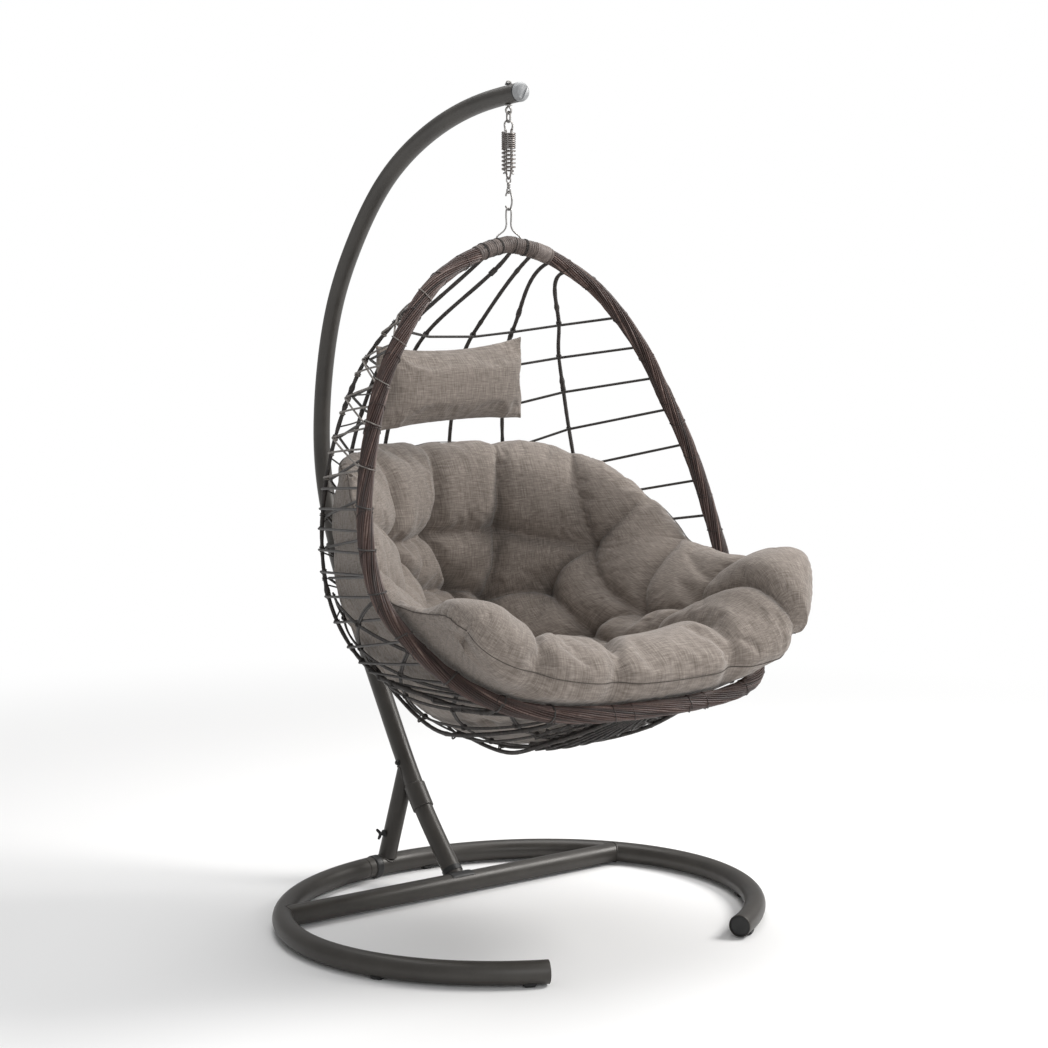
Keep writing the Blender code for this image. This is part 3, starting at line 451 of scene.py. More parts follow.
def moulded_plastic(name, colour, roughness):
    """Moulded plastic: fine pits and slight streaks of wear."""
    paint = Paint(name, colour, roughness)
    place_on = paint.object_place()
    pits = paint.noise(place_on, 1300, 2)
    wear = paint.noise(place_on, 60, 5)
    light = tuple(min(1, c * 1.5 + 0.01) for c in colour)
    paint.colour(paint.mix(paint.ramp(wear, (0.45, 0), (0.8, 0.7)), colour, light))
    paint.rough(paint.ramp(wear, (0.3, roughness - 0.08), (0.8, roughness + 0.12)))
    paint.bump((pits, 0.35, 0.0002))
    return paint.material


def zinc_plate(name, bright, dull, roughness):
    """Zinc-plated wire: drawn lines along it and a dull bloom."""
    paint = Paint(name, bright, roughness, 1.0)
    drawn = paint.noise(paint.grain((60, 2600, 1)), 1, 3)
    bloom = paint.noise(paint.object_place(), 140, 5)
    paint.colour(paint.mix(paint.ramp(bloom, (0.38, 0), (0.68, 1)), bright, dull))
    paint.rough(paint.ramp(bloom, (0.3, roughness - 0.06), (0.75, roughness + 0.2)))
    paint.bump((drawn, 0.25, 0.0001), (bloom, 0.2, 0.0002))
    return paint.material


def rattan():
    """Lengthwise strands; the grain holds metres along, a strand's shade, and the height over its groove."""
    paint = Paint("rattan_strands", (0.085, 0.048, 0.038), 0.48)
    along, shade, groove = paint.grain_parts()
    lines = paint.node(
        "CombineXYZ", {0: paint.math("MULTIPLY", along, 28), 1: paint.math("MULTIPLY", shade, 61)}
    )
    streak = paint.noise(lines, 1.6, 5, 0.65)
    fibre = paint.noise(paint.object_place(), 520, 3)
    blend = paint.math("ADD", paint.math("MULTIPLY", shade, 0.55), paint.math("MULTIPLY", streak, 0.62))
    skin = paint.ramp(
        blend, (0.30, (0.016, 0.009, 0.007)), (0.56, (0.040, 0.021, 0.017)), (0.78, (0.074, 0.042, 0.034)),
        (0.97, (0.185, 0.128, 0.108)),
    )
    dusty = paint.mix(paint.ramp(fibre, (0.55, 0), (0.8, 0.35)), skin, (0.105, 0.072, 0.060))
    # painted shade: the colour darkens to near black in the grooves between the strands
    paint.colour(paint.mix(paint.ramp(groove, (0.0, 0.85), (0.35, 0.0)), dusty, (0.010, 0.006, 0.005)))
    paint.rough(paint.ramp(streak, (0.3, 0.36), (0.8, 0.62)))
    paint.bump((streak, 0.5, 0.0006), (fibre, 0.35, 0.0004))
    return paint.material


def tape(name, dark, light):
    """Wound woven tape, frayed in places."""
    paint = Paint(name, light, 0.62)
    threads = paint.noise(paint.grain((900, 90, 1)), 1, 3)
    cloud = paint.noise(paint.object_place(), 70, 5)
    skin = paint.mix(paint.ramp(cloud, (0.35, 0), (0.7, 1)), dark, light)
    paint.colour(paint.mix(paint.ramp(threads, (0.35, 0.55), (0.6, 0)), skin, tuple(c * 0.5 for c in dark)))
    paint.rough(paint.ramp(cloud, (0.3, 0.5), (0.8, 0.75)))
    paint.bump((threads, 0.5, 0.0005), (cloud, 0.3, 0.0006))
    return paint.material


def twisted_cord(name, dark, light, roughness, lay=0.011):
    """A laid cord: slanted strands with painted shade between them, loose fibres, and a little dust on the
    high side.
    """
    paint = Paint(name, dark, roughness)
    along, _, share = paint.grain_parts()
    turns = paint.math("ADD", paint.math("MULTIPLY", along, 2 * math.pi / lay),
                       paint.math("MULTIPLY", share, 6 * math.pi))
    strand = paint.math("ABSOLUTE", paint.math("SINE", turns))
    fibre = paint.noise(paint.grain((700, 2400, 1)), 1, 3)
    cloud = paint.noise(paint.object_place(), 160, 4)
    # painted shade: the colour darkens to 0.4 of the cord's colour between the laid strands
    body = paint.mix(paint.ramp(strand, (0.0, 0), (0.9, 1)), tuple(c * 0.4 for c in dark), dark)
    paint.colour(paint.mix(paint.ramp(cloud, (0.42, 0), (0.78, 0.8)), body, light))
    paint.rough(paint.ramp(fibre, (0.3, roughness - 0.1), (0.8, roughness + 0.15)))
    paint.bump((strand, 0.55, 0.0006), (fibre, 0.4, 0.0003))
    return paint.material


THREAD_PITCH = 0.0016


def linen(name):
    """Heathered taupe linen: a plain weave of slubby warp and weft, in metres on the cloth itself."""
    paint = Paint(name, (0.300, 0.262, 0.232), 0.92, sheen_weight=0.22, sheen_roughness=0.45)
    warp = paint.noise(paint.grain((950, 42, 1)), 1, 3, 0.6)
    weft = paint.noise(paint.grain((42, 950, 1)), 1, 3, 0.6)
    slub_warp = paint.noise(paint.grain((330, 26, 1)), 1, 2)
    slub_weft = paint.noise(paint.grain((26, 330, 1)), 1, 2)
    threads = paint.math("MULTIPLY", paint.math("ADD", warp, weft), 0.5)
    slubs = paint.math("MULTIPLY", paint.math("ADD", slub_warp, slub_weft), 0.5)
    mixed = paint.math("ADD", paint.math("MULTIPLY", threads, 0.55), paint.math("MULTIPLY", slubs, 0.45))
    shade = paint.ramp(
        mixed, (0.38, (0.092, 0.073, 0.060)), (0.47, (0.168, 0.140, 0.119)), (0.53, (0.232, 0.197, 0.170)),
        (0.63, (0.350, 0.306, 0.272)),
    )
    cloud = paint.noise(paint.object_place(), 5, 4)
    paint.colour(paint.mix(paint.ramp(cloud, (0.3, 0.0), (0.75, 0.22)), shade, (0.180, 0.149, 0.127)))
    across, along, _ = paint.grain_parts()
    pitch = 2 * math.pi / THREAD_PITCH
    weave = paint.math(
        "MULTIPLY", paint.math("SINE", paint.math("MULTIPLY", across, pitch)),
        paint.math("SINE", paint.math("MULTIPLY", along, pitch)),
    )
    paint.bump((weave, 0.35, 0.0003), (threads, 0.55, 0.0006), (slubs, 0.45, 0.0008))
    return paint.material


def pale_floor():
    """Pale floor that fades into the background light far from the chair."""
    material = bpy.data.materials.new("pale_floor")
    material.use_nodes = True
    tree = material.node_tree
    shader = tree.nodes["Principled BSDF"]
    shader.inputs["Base Color"].default_value = (*FLOOR_SHADE, 1)
    shader.inputs["Roughness"].default_value = 0.75
    shader.inputs["Specular IOR Level"].default_value = 0.15
    glow = tree.nodes.new("ShaderNodeEmission")
    glow.inputs["Color"].default_value = (*BACKGROUND, 1)
    where = tree.nodes.new("ShaderNodeTexCoord")
    size = tree.nodes.new("ShaderNodeVectorMath")
    size.operation = "LENGTH"
    fade = tree.nodes.new("ShaderNodeMapRange")
    fade.inputs["From Min"].default_value = FADE_FROM
    fade.inputs["From Max"].default_value = FADE_TO
    fade.interpolation_type = "SMOOTHSTEP"
    join = tree.nodes.new("ShaderNodeMixShader")
    tree.links.new(where.outputs["Object"], size.inputs[0])
    tree.links.new(size.outputs["Value"], fade.inputs["Value"])
    tree.links.new(fade.outputs["Result"], join.inputs[0])
    tree.links.new(shader.outputs[0], join.inputs[1])
    tree.links.new(glow.outputs[0], join.inputs[2])
    tree.links.new(join.outputs[0], tree.nodes["Material Output"].inputs["Surface"])
    return material


# ---------------------------------------------------------------- camera, light and floor
CAMERA_PLACE = Vector((-2.9585, -3.9948, 1.3644))
CAMERA_TARGET = Vector((0.0038, -0.1844, 0.9290))
CAMERA_LENS = 71.73
BACKGROUND = (1.0, 1.0, 1.0)
FLOOR_SHADE = (0.86, 0.86, 0.86)
AMBIENT = 0.38  # how much the background lights the chair
FADE_FROM = 1.3
FADE_TO = 4.0


def add_light(name, place_at, target, size, power, colour=(1, 1, 1)):
    data = bpy.data.lights.new(name, "AREA")
    data.size = size
    data.energy = power
    data.color = colour
    light = bpy.data.objects.new(name, data)
    light.location = place_at
    light.rotation_euler = (Vector(target) - Vector(place_at)).to_track_quat("-Z", "Y").to_euler()
    bpy.context.scene.collection.objects.link(light)


def build_studio():
    scene = bpy.context.scene
    scene.view_settings.view_transform = "Standard"
    data = bpy.data.cameras.new("camera")
    data.lens = CAMERA_LENS
    data.sensor_width = 36
    camera = bpy.data.objects.new("camera", data)
    camera.location = CAMERA_PLACE
    camera.rotation_euler = (CAMERA_TARGET - CAMERA_PLACE).to_track_quat("-Z", "Y").to_euler()
    scene.collection.objects.link(camera)
    scene.camera = camera
    world = bpy.data.worlds.new("studio")
    world.use_nodes = True
    tree = world.node_tree
    seen = tree.nodes["Background"]
    seen.inputs["Color"].default_value = (*BACKGROUND, 1)
    felt = tree.nodes.new("ShaderNodeBackground")
    felt.inputs["Color"].default_value = (*BACKGROUND, 1)
    felt.inputs["Strength"].default_value = AMBIENT
    ray = tree.nodes.new("ShaderNodeLightPath")
    join = tree.nodes.new("ShaderNodeMixShader")
    tree.links.new(ray.outputs["Is Camera Ray"], join.inputs[0])
    tree.links.new(felt.outputs[0], join.inputs[1])
    tree.links.new(seen.outputs[0], join.inputs[2])
    tree.links.new(join.outputs[0], tree.nodes["World Output"].inputs["Surface"])
    scene.world = world
    middle = (0, -0.2, 0.8)
    add_light("key", (3.2, -1.9, 3.4), middle, 1.8, 190, (1.0, 0.985, 0.965))
    add_light("front_fill", (-1.6, -5.0, 2.4), middle, 3.0, 70, (0.97, 0.985, 1.0))
    add_light("top", (0.4, 0.6, 4.4), middle, 3.2, 120)
    mesh = bpy.data.meshes.new("floor")
    reach = 60
    mesh.from_pydata([(-reach, -reach, 0), (reach, -reach, 0), (reach, reach, 0), (-reach, reach, 0)], [],
                     [(0, 1, 2, 3)])
    mesh.materials.append(pale_floor())
    floor = bpy.data.objects.new("floor", mesh)
    scene.collection.objects.link(floor)


build_studio()

POWDER = powder_coat()
BLACK = moulded_plastic("black_moulding", (0.012, 0.012, 0.012), 0.5)
CAP = moulded_plastic("grey_moulding", (0.245, 0.250, 0.255), 0.36)
ZINC = zinc_plate("zinc_wire", (0.36, 0.35, 0.34), (0.18, 0.17, 0.16), 0.30)
AGED = zinc_plate("aged_zinc", (0.25, 0.235, 0.225), (0.115, 0.098, 0.088), 0.34)
RATTAN = rattan()
TAPE = tape("wound_tape", (0.060, 0.043, 0.037), (0.150, 0.118, 0.103))
TAPE_END = tape("end_tape", (0.120, 0.094, 0.083), (0.215, 0.178, 0.160))
DARK_CORD = twisted_cord("dark_cord", (0.030, 0.026, 0.024), (0.085, 0.075, 0.068), 0.55)
RIB_WRAP = twisted_cord("rib_binding", (0.022, 0.018, 0.016), (0.075, 0.060, 0.052), 0.58, 0.006)
GREY_CORD = twisted_cord("grey_cord", (0.150, 0.132, 0.120), (0.36, 0.33, 0.30), 0.62)
NET_CORD = twisted_cord("net_cord", (0.028, 0.024, 0.022), (0.095, 0.083, 0.075), 0.58)
LINEN = linen("taupe_linen")
PILLOW_LINEN = linen("taupe_linen_pillow")
THREAD = twisted_cord("seam_thread", (0.075, 0.062, 0.052), (0.12, 0.10, 0.085), 0.8, 0.003)
STEEL = (POWDER, "stand", "powder_coat")  # finish, body and slot
PLASTIC = (BLACK, "stand", "black_plastic")


# ---------------------------------------------------------------- stand
def ring_point(degrees, z=RING_Z):
    angle = np.radians(degrees)
    across = RING_HALF_WIDTH * np.cos(angle)
    return place(np.stack([across, RING_HALF_DEPTH * np.sin(angle), z + 0 * across], axis=-1))


def pole_path(z_from, z_to, step=0.006):
    """The pole's middle line between two heights of its rising part, or to its tip."""
    fine = smooth(place([(0, y, z) for y, z in POLE_LINE]), 0.0005)
    first = int(np.argmax(fine[:, 2] >= z_from))
    last = len(fine) if z_to is None else int(np.argmax(fine[:, 2] >= z_to)) + 1
    return even(fine[first:last], step)


def distance_to(path, points):
    """Distance of each point from a path's nearest point."""
    return np.array([np.linalg.norm(path - p, axis=1).min() for p in points])


def weld(line_from, line_to, radius, other_path, other_radius):
    """A rippled bead where a straight tube runs into another tube."""
    line_from, line_to = np.asarray(line_from), np.asarray(line_to)
    first, second = square_to(line_to - line_from)
    other = even(other_path, 0.001)
    bead = []
    for angle in np.linspace(0, 2 * math.pi, 72, endpoint=False):
        side = (math.cos(angle) * first + math.sin(angle) * second) * radius
        run = line_from + side + (line_to - line_from) * np.linspace(0, 1, 160)[:, None]
        gap = distance_to(other, run)
        inside = int(np.argmax(gap <= other_radius)) if (gap <= other_radius).any() else int(np.argmin(gap))
        bead.append(run[inside])
    bead = even(bead + bead[:1], 0.0016)[:-1]
    ripple = 0.0021 + 0.0005 * np.abs(np.sin(np.arange(len(bead)) * 0.9))
    ripple += random.normal(0, 0.00012, len(bead))
    return sweep(bead, ripple, 10, closed=True)


def saddle(path, inner, outer, facing, half_angle, steps=22):
    """A curved pad that hugs a tube, thinning towards its edges."""
    tangent = frames_along(path)[0]
    front = np.asarray(facing, float) - tangent * (tangent @ np.asarray(facing, float))[:, None]
    front = unit(front)
    side = np.cross(tangent, front)
    angle = np.radians(half_angle) * np.linspace(-1, 1, steps)
    around = np.cos(angle)[None, :, None] * front[:, None] + np.sin(angle)[None, :, None] * side[:, None]
    ends = 1 - np.abs(np.linspace(-1, 1, len(path))) ** 8
    edges = 1 - np.abs(np.linspace(-1, 1, steps)) ** 8
    high = inner + (outer - inner) * (0.35 + 0.65 * ends[:, None] * edges[None, :])
    top = path[:, None] + around * high[..., None]
    bottom = path[:, None] + around * inner
    rows, columns = top.shape[:2]
    points = np.concatenate([top.reshape(-1, 3), bottom.reshape(-1, 3)])
    points[:, 2] = np.maximum(points[:, 2], 0.0002)
    size = rows * columns
    quads = grid_faces(rows, columns)
    faces = [tuple(f) for f in quads.tolist()] + [tuple(f[::-1]) for f in (quads + size).tolist()]
    rim = list(range(columns)) + [i * columns + columns - 1 for i in range(1, rows)]
    rim += [size - 1 - k for k in range(1, columns)] + [i * columns for i in range(rows - 2, 0, -1)]
    faces += [(b, a, a + size, b + size) for a, b in zip(rim, rim[1:] + rim[:1])]
    return points, faces, np.zeros_like(points)


def build_base():
    seam = 0.12
    right = ring_point(np.linspace(-RING_END, 90 - TEE_HALF_ANGLE - seam, 130))
    left = right * MIRROR
    bore = RING_TUBE - WALL
    for name, path in (("base_arc_right", right), ("base_arc_left", left)):
        fine(name, [sweep(path, RING_TUBE, TUBE_SIDES, rounding=TUBE_ROUNDING, bore=bore)], *STEEL)
        into = unit(path[1] - path[0])
        wall = bore - 0.0003
        dome = [(0, 0.001), (bore * 0.5, 0.0004), (bore - 0.003, 0), (bore - 0.0008, 0.0009), (wall, 0.003),
                (wall, 0.014), (0, 0.014)]
        fine(name.replace("arc", "end_plug"), [lathe(dome, path[0] + into * 0.0015, into)], *PLASTIC)
    tee = ring_point(np.linspace(90 - TEE_HALF_ANGLE, 90 + TEE_HALF_ANGLE, 40))
    foot = ring_point(LEG_ANGLE)
    top = pole_path(LEG_TOP_Z, LEG_TOP_Z + 0.01)[0]
    rise = unit(top - foot)
    spigot = sweep(even([foot + rise * 0.020, foot + rise * 0.075], 0.005), LEG_TUBE - WALL - 0.001, 32,
                   rounding=0.002)
    bead = weld(foot + rise * 0.06, foot, LEG_TUBE - 0.001, tee, RING_TUBE)
    body = sweep(tee, RING_TUBE, TUBE_SIDES, rounding=TUBE_ROUNDING, bore=bore)
    fine("base_rear_tee", [body, spigot, bead], *STEEL)
    reach = RING_HALF_WIDTH * math.sqrt(1 - (CROSSBAR_Y / RING_HALF_DEPTH) ** 2)
    ends = place([(-reach, CROSSBAR_Y, RING_Z), (reach, CROSSBAR_Y, RING_Z)])
    beads = [weld(ends[0] * 0.8 + ends[1] * 0.2, ends[0], CROSSBAR_TUBE, left, RING_TUBE),
             weld(ends[1] * 0.8 + ends[0] * 0.2, ends[1], CROSSBAR_TUBE, right, RING_TUBE)]
    fine("base_crossbar", [sweep(even(ends, 0.02), CROSSBAR_TUBE, TUBE_SIDES)] + beads, *STEEL)


def build_glides():
    spots = {"glide_rear_right": 90 - TEE_HALF_ANGLE + 3.0}
    for side, start, sign in (("right", 0, 1), ("left", 180, -1)):
        spots[f"glide_front_{side}"] = start - sign * 57.0
        spots[f"glide_side_{side}"] = start - sign * 22.0
    for name, angle in spots.items():
        path = ring_point(np.linspace(angle - 1.3, angle + 1.3, 15))
        pad = saddle(path, RING_TUBE + 0.0003, RING_TUBE + 2 * PAD_HEIGHT, (0, 0, -1), 40)
        fine(name, [pad], *PLASTIC)
    angle = 90 + TEE_HALF_ANGLE - 3.2
    clip = ring_point(np.linspace(angle - 1.1, angle + 1.1, 15))
    hug = saddle(clip, RING_TUBE + 0.0003, RING_TUBE + PAD_HEIGHT, (0.25, -1, -0.35), 140, 48)
    fine("glide_rear_clip", [hug], *PLASTIC)


def build_pole():
    def round_tube(name, path, radius, rounding=0.0008):
        fine(name, [sweep(path, radius, TUBE_SIDES, rounding=rounding)], *STEEL)

    round_tube("pole_foot_tube", pole_path(RING_Z, COLLAR_Z[0] + 0.024), POLE_TUBE)
    bar = even(place([(-0.030, CROSSBAR_Y, RING_Z), (0.036, CROSSBAR_Y, RING_Z)]), 0.003)
    pad = saddle(bar, CROSSBAR_TUBE + 0.0002, CROSSBAR_TUBE + 0.0028, (0, 0.35, 1), 62, 30)
    cuff = sweep(pole_path(RING_Z + 0.017, RING_Z + 0.027, 0.002), POLE_TUBE + 0.0016, 40, rounding=0.001)
    fine("pole_foot_gasket", [pad, cuff], *PLASTIC)
    round_tube("pole_collar", pole_path(*COLLAR_Z), COLLAR_RADIUS, 0.0016)
    round_tube("pole_middle_tube", pole_path(COLLAR_Z[0] + 0.028, POLE_JOINT_Z), POLE_TUBE)
    joint = pole_path(POLE_JOINT_Z - 0.035, POLE_JOINT_Z + 0.035)
    round_tube("pole_joint_sleeve", joint, COLLAR_RADIUS, 0.0016)
    round_tube("pole_arch", pole_path(POLE_JOINT_Z + 0.004, None), ARCH_TUBE)


def cut(target, points, faces):
    """Takes a simple shape out of a piece."""
    mesh = bpy.data.meshes.new("cutter")
    mesh.from_pydata(points.tolist(), [], faces)
    cutter = bpy.data.objects.new("cutter", mesh)
    bpy.context.scene.collection.objects.link(cutter)
    step = target.modifiers.new("cut", "BOOLEAN")
    step.object = cutter
    view = bpy.context.evaluated_depsgraph_get()
    view.update()
    result = bpy.data.meshes.new_from_object(target.evaluated_get(view))
    target.modifiers.clear()
    target.data = result
    bpy.data.objects.remove(cutter)
    bpy.data.meshes.remove(mesh)


def build_arch_cap():
    tip = pole_path(1.7, None, 0.002)
    outward = unit(tip[-1] - tip[-2])
    r = ARCH_TUBE
    profile = [(0, -0.012), (r - 0.003, -0.012), (r - 0.002, 0.0003), (r + 0.0004, 0.0003),
               (r + 0.0008, 0.0009), (r + 0.0008, 0.0030), (r + 0.0002, 0.0055), (r - 0.0014, 0.0090),
               (r - 0.0042, 0.0128), (r - 0.0070, 0.0146), (r - 0.0120, 0.0158), (0, 0.0165)]
    cap = fine("arch_end_cap", [lathe(profile, tip[-1], outward, 56)], CAP, "stand", "grey_cap")
    slant = unit((0.5, 0, 1)) * 0.03
    centre = tip[-1] + outward * 0.0185
    points, faces, _ = sweep([centre - slant, centre + slant], 0.0075, 4)
    cut(cap, points, faces)
    collar = even([tip[-1] - outward * 0.0034, tip[-1] - outward * 0.0002], 0.0008)
    piece("arch_end_collar", [sweep(collar, ARCH_TUBE + 0.0007, 56, rounding=0.0006)], *PLASTIC)


def build_leg():
    foot = ring_point(LEG_ANGLE)
    top = pole_path(LEG_TOP_Z, LEG_TOP_Z + 0.01)[0]
    rise = unit(top - foot)
    bead = weld(foot + (top - foot) * 0.45, top, LEG_TUBE, pole_path(0.15, 0.45, 0.002), POLE_TUBE)
    fine("rear_leg", [sweep(even([foot + rise * 0.021, top], 0.01), LEG_TUBE, TUBE_SIDES), bead], *STEEL)
    seat = foot + (top - foot) * (WING_BOLT_Z - foot[2]) / (top[2] - foot[2])
    seat = seat + np.array([-LEG_TUBE - 0.002, 0, 0])
    head = [(0, 0), (0.0085, 0), (0.0088, 0.0006), (0.0088, 0.0034), (0.0080, 0.0042), (0.0052, 0.0060),
            (0.0048, 0.0075), (0.0048, 0.0145), (0.0040, 0.0158), (0, 0.0163)]
    wings = []
    for side in (-1, 1):
        lean = np.array([-0.010, 0.004 * side, 0.011 * side])
        root = seat + np.array([-0.0105, 0, 0])
        blade = smooth([root, root + lean * 0.55, root + lean * 1.1], 0.0006)
        share = np.linspace(0, 1, len(blade))
        wings.append(sweep(blade, 0.0028 + 0.0012 * np.sin(share * math.pi) ** 1.5, 16, rounding=0.0016))
    fine("wing_bolt", [lathe(head, seat, (-1, 0, 0), 32)] + wings, BLACK, "wing_screw", "black_plastic")
    bolt_seat = pole_path(POLE_BOLT_Z, POLE_BOLT_Z + 0.01)[0] + np.array([-POLE_TUBE - 0.0004, 0, 0])
    flange = [(0, 0), (0.0078, 0), (0.0080, 0.0005), (0.0078, 0.0013), (0.0056, 0.0016), (0.0056, 0.0052),
              (0.0044, 0.0064), (0, 0.0068)]
    fine("pole_bolt", [lathe(flange, bolt_seat, (-1, 0, 0), 36)], *PLASTIC)


# ---------------------------------------------------------------- hanger
def hanger(z, x=0.0, y=0.0):
    return place((x, HANG_Y + y, z))


def oval(top_z, bottom_z, half_width, plane):
    """A closed oval link between two heights of its wire's middle."""
    upper = arc(hanger(top_z - half_width), half_width, 0, 180, 20, plane)
    lower = arc(hanger(bottom_z + half_width), half_width, 180, 360, 20, plane)
    return np.concatenate([even(upper, 0.001), even(lower, 0.001)])


def wire(name, path, radius, body, finish=ZINC, closed=False, extra=()):
    part = sweep(path, radius, 18, closed=closed, rounding=0 if closed else radius * 0.6)
    fine(name, [part, *extra], finish, body, "zinc")


def build_hanger():
    arch = pole_path(1.0, None, 0.001)
    middle = arch[-200:][int(np.argmin(np.abs(arch[-200:, 1] - hanger(0)[1])))][2]
    clear = 0.0009
    tube_top = middle + ARCH_TUBE + clear
    underside = middle - ARCH_TUBE - clear
    shank_path = even([hanger(EYE_Z + EYE_RADIUS - 0.001), hanger(tube_top + 0.0052)], 0.0004)
    height = lengths_along(shank_path)
    thread = 0.0036 + 0.00022 * np.sin(height * 2 * math.pi / 0.0013)
    wire("eye_bolt", arc(hanger(EYE_Z), EYE_RADIUS, 100, 430, 48), EYE_WIRE, "stand",
         extra=[sweep(shank_path, thread, 20)])
    washer = [(0.0046, 0), (0.0083, 0), (0.0085, 0.0003), (0.0085, 0.0019), (0.0083, 0.0022),
              (0.0046, 0.0022)]
    fine("eye_bolt_lower_washer", [lathe(washer, hanger(underside - 0.0022))], ZINC, "stand", "zinc")
    fine("eye_bolt_upper_washer", [lathe(washer, hanger(tube_top))], *PLASTIC)
    base = hanger(tube_top + 0.0026)
    hexagon = [(0.0046, 0), (0.0064, 0), (0.0068, 0.0003), (0.0068, 0.0034), (0.0060, 0.0040),
               (0.0046, 0.0040)]
    dome = [(0.0052, 0.0030), (0.0053, 0.0046), (0.0048, 0.0058), (0.0036, 0.0068), (0.0018, 0.0074),
            (0, 0.0075)]
    fine("dome_nut", [lathe(hexagon, base, sides=6), lathe(dome, base)], ZINC, "stand", "zinc", sharp=25)
    link = oval(SWING_Z + EYE_WIRE + WIRE + 0.0004, SIDE_SWING_Z, 0.0062, "yz")
    wire("eye_link", link, WIRE, "link", closed=True)

    bend = 0.0118
    leg = 0.0094
    foot_reach = 0.0062
    crown = SIDE_SWING_Z + 2 * WIRE + 0.0004
    low = SPRING_BOTTOM - 0.0064
    left = [hanger(SPRING_TOP + 0.003, -leg), hanger(low + 0.004, -leg)]
    left += list(arc(hanger(low + 0.003, -leg - 0.003), 0.003, 0, -90, 6))
    left += [hanger(low, -leg - foot_reach)]
    left = np.array(left)
    right = left[::-1] * MIRROR
    crown_arc = arc(hanger(crown - bend), bend, 0, 180, 24)
    wire("upper_drawbar", even(np.concatenate([right, crown_arc, left]), 0.0012), WIRE, "upper_bar")
    high = SPRING_TOP + 0.0064
    near = [hanger(high, 0, leg + foot_reach)]
    near += list(arc(hanger(high - 0.003, 0, leg + 0.003), 0.003, 90, 180, 6, "yz"))
    near += [hanger(SPRING_BOTTOM - 0.0015, 0, leg), hanger(BAR_TIP_Z + 0.004, 0, 0.0052)]
    near = np.array(near)
    far = near[::-1].copy()
    far[:, 1] = 2 * hanger(0)[1] - far[:, 1]
    wire("lower_drawbar", even(np.concatenate([near, [hanger(BAR_TIP_Z)], far]), 0.0012), WIRE, "lower_bar",
         finish=AGED)

    open_turns = 5.5
    tight_turns = 8.0
    tight_pitch = 0.0046
    per_turn = 28
    turns = np.linspace(0, open_turns + tight_turns, int((open_turns + tight_turns) * per_turn))
    tight_bottom = SPRING_TOP - tight_turns * tight_pitch
    height = np.interp(turns, [0, open_turns, open_turns + tight_turns],
                       [SPRING_BOTTOM, tight_bottom, SPRING_TOP])
    coil = np.stack([SPRING_RADIUS * np.cos(turns * 2 * math.pi), SPRING_RADIUS * np.sin(turns * 2 * math.pi),
                     height], axis=1) + hanger(0)
    spring = fine("tension_spring", [sweep(coil, WIRE, 14, rounding=0.001)], AGED, "upper_bar", "zinc")
    tuple(hanger(SPRING_BOTTOM - WIRE))
    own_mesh(spring)

    small = 0.0017
    barrel = [(0, 0), (0.0034, 0), (0.0040, 0.0008), (0.0040, 0.0058), (0.0034, 0.0072), (0.0024, 0.0084),
              (0, 0.0085)]
    wire("swivel_eye", oval(1.7280, 1.7150, 0.0058, "xz"), small, "lower_bar", closed=True,
         extra=[lathe(barrel, hanger(1.7080), sides=28)])
    collar = [(0, 0), (0.0024, 0), (0.0040, 0.0014), (0.0041, 0.0046), (0.0036, 0.0052), (0, 0.0052)]
    wire("swivel_link", oval(1.7022, 1.6915, 0.0052, "xz"), small, "hook", closed=True,
         extra=[lathe(collar, hanger(1.7022), sides=28)])
    centre = (HOOK_TOP + HOOK_BOTTOM) / 2
    reach = (HOOK_TOP - HOOK_BOTTOM) / 2
    angle = np.radians(np.linspace(150, -150, 60))
    hook = np.stack([0 * angle, -0.0125 * np.cos(angle), centre + reach * np.sin(angle)], axis=1)
    wire("carrier_hook", even(hook + hanger(0), 0.001), WIRE, "hook")
    neck = 0.0070
    right = np.array([hanger(z, x) for x, z in YOKE_LEG])
    left = right * MIRROR
    bow = np.concatenate([right[::-1], arc(hanger(YOKE_TOP - neck), neck, 0, 180, 9), left])
    wire("basket_yoke", smooth(bow, 0.001), 0.0019, "basket")


# ---------------------------------------------------------------- basket
STEPS = np.linspace(0, 1, len(RIM_LINE))
FINE = np.linspace(0, 1, 1501)
RIM = spline(RIM_LINE, STEPS, FINE)
BACK = spline(BACK_LINE, STEPS, FINE)


def read(line, t):
    """A line's coordinates at shares t of its length."""
    return np.stack([np.interp(t, FINE, column) for column in line.T], axis=-1)


def surface(t, degrees):
    """The basket's surface: t runs from its top to its lip, degrees from -90 to 90 rim to rim."""
    t, degrees = np.broadcast_arrays(np.asarray(t, float), np.asarray(degrees, float))
    edge = read(RIM, t)
    spine = read(BACK, t)
    across = np.sin(np.radians(degrees))
    behind = np.cos(np.radians(degrees))
    y = edge[..., 1] + (spine[..., 0] - edge[..., 1]) * behind
    z = edge[..., 2] + (spine[..., 1] - edge[..., 2]) * behind
    return place(np.stack([edge[..., 0] * across, y, z], axis=-1))


def inward(t, degrees):
    """The direction square to the basket's surface, into the basket."""
    t = np.clip(t, 0, 0.994)
    along = surface(np.minimum(t + 0.004, 1), degrees) - surface(np.maximum(t - 0.004, 0), degrees)
    around = (surface(t, np.minimum(np.add(degrees, 2), 90))
              - surface(t, np.maximum(np.subtract(degrees, 2), -90)))
    normal = unit(np.cross(along, around))
    middle = place((0, -0.05, 0.95))
    facing = np.sum(normal * (middle - surface(t, degrees)), axis=-1, keepdims=True)
    return np.where(facing < 0, -normal, normal)


def basket_point(t, degrees, inset=0.0):
    return surface(t, degrees) + inward(t, degrees) * np.asarray(inset)[..., None]


def rim_point(t, side=1):
    return place(read(RIM, np.asarray(t, float)) * np.array([side, 1, 1]))


def rim_along(t, side=1):
    return unit(rim_point(min(t + 0.002, 1), side) - rim_point(max(t - 0.002, 0), side))


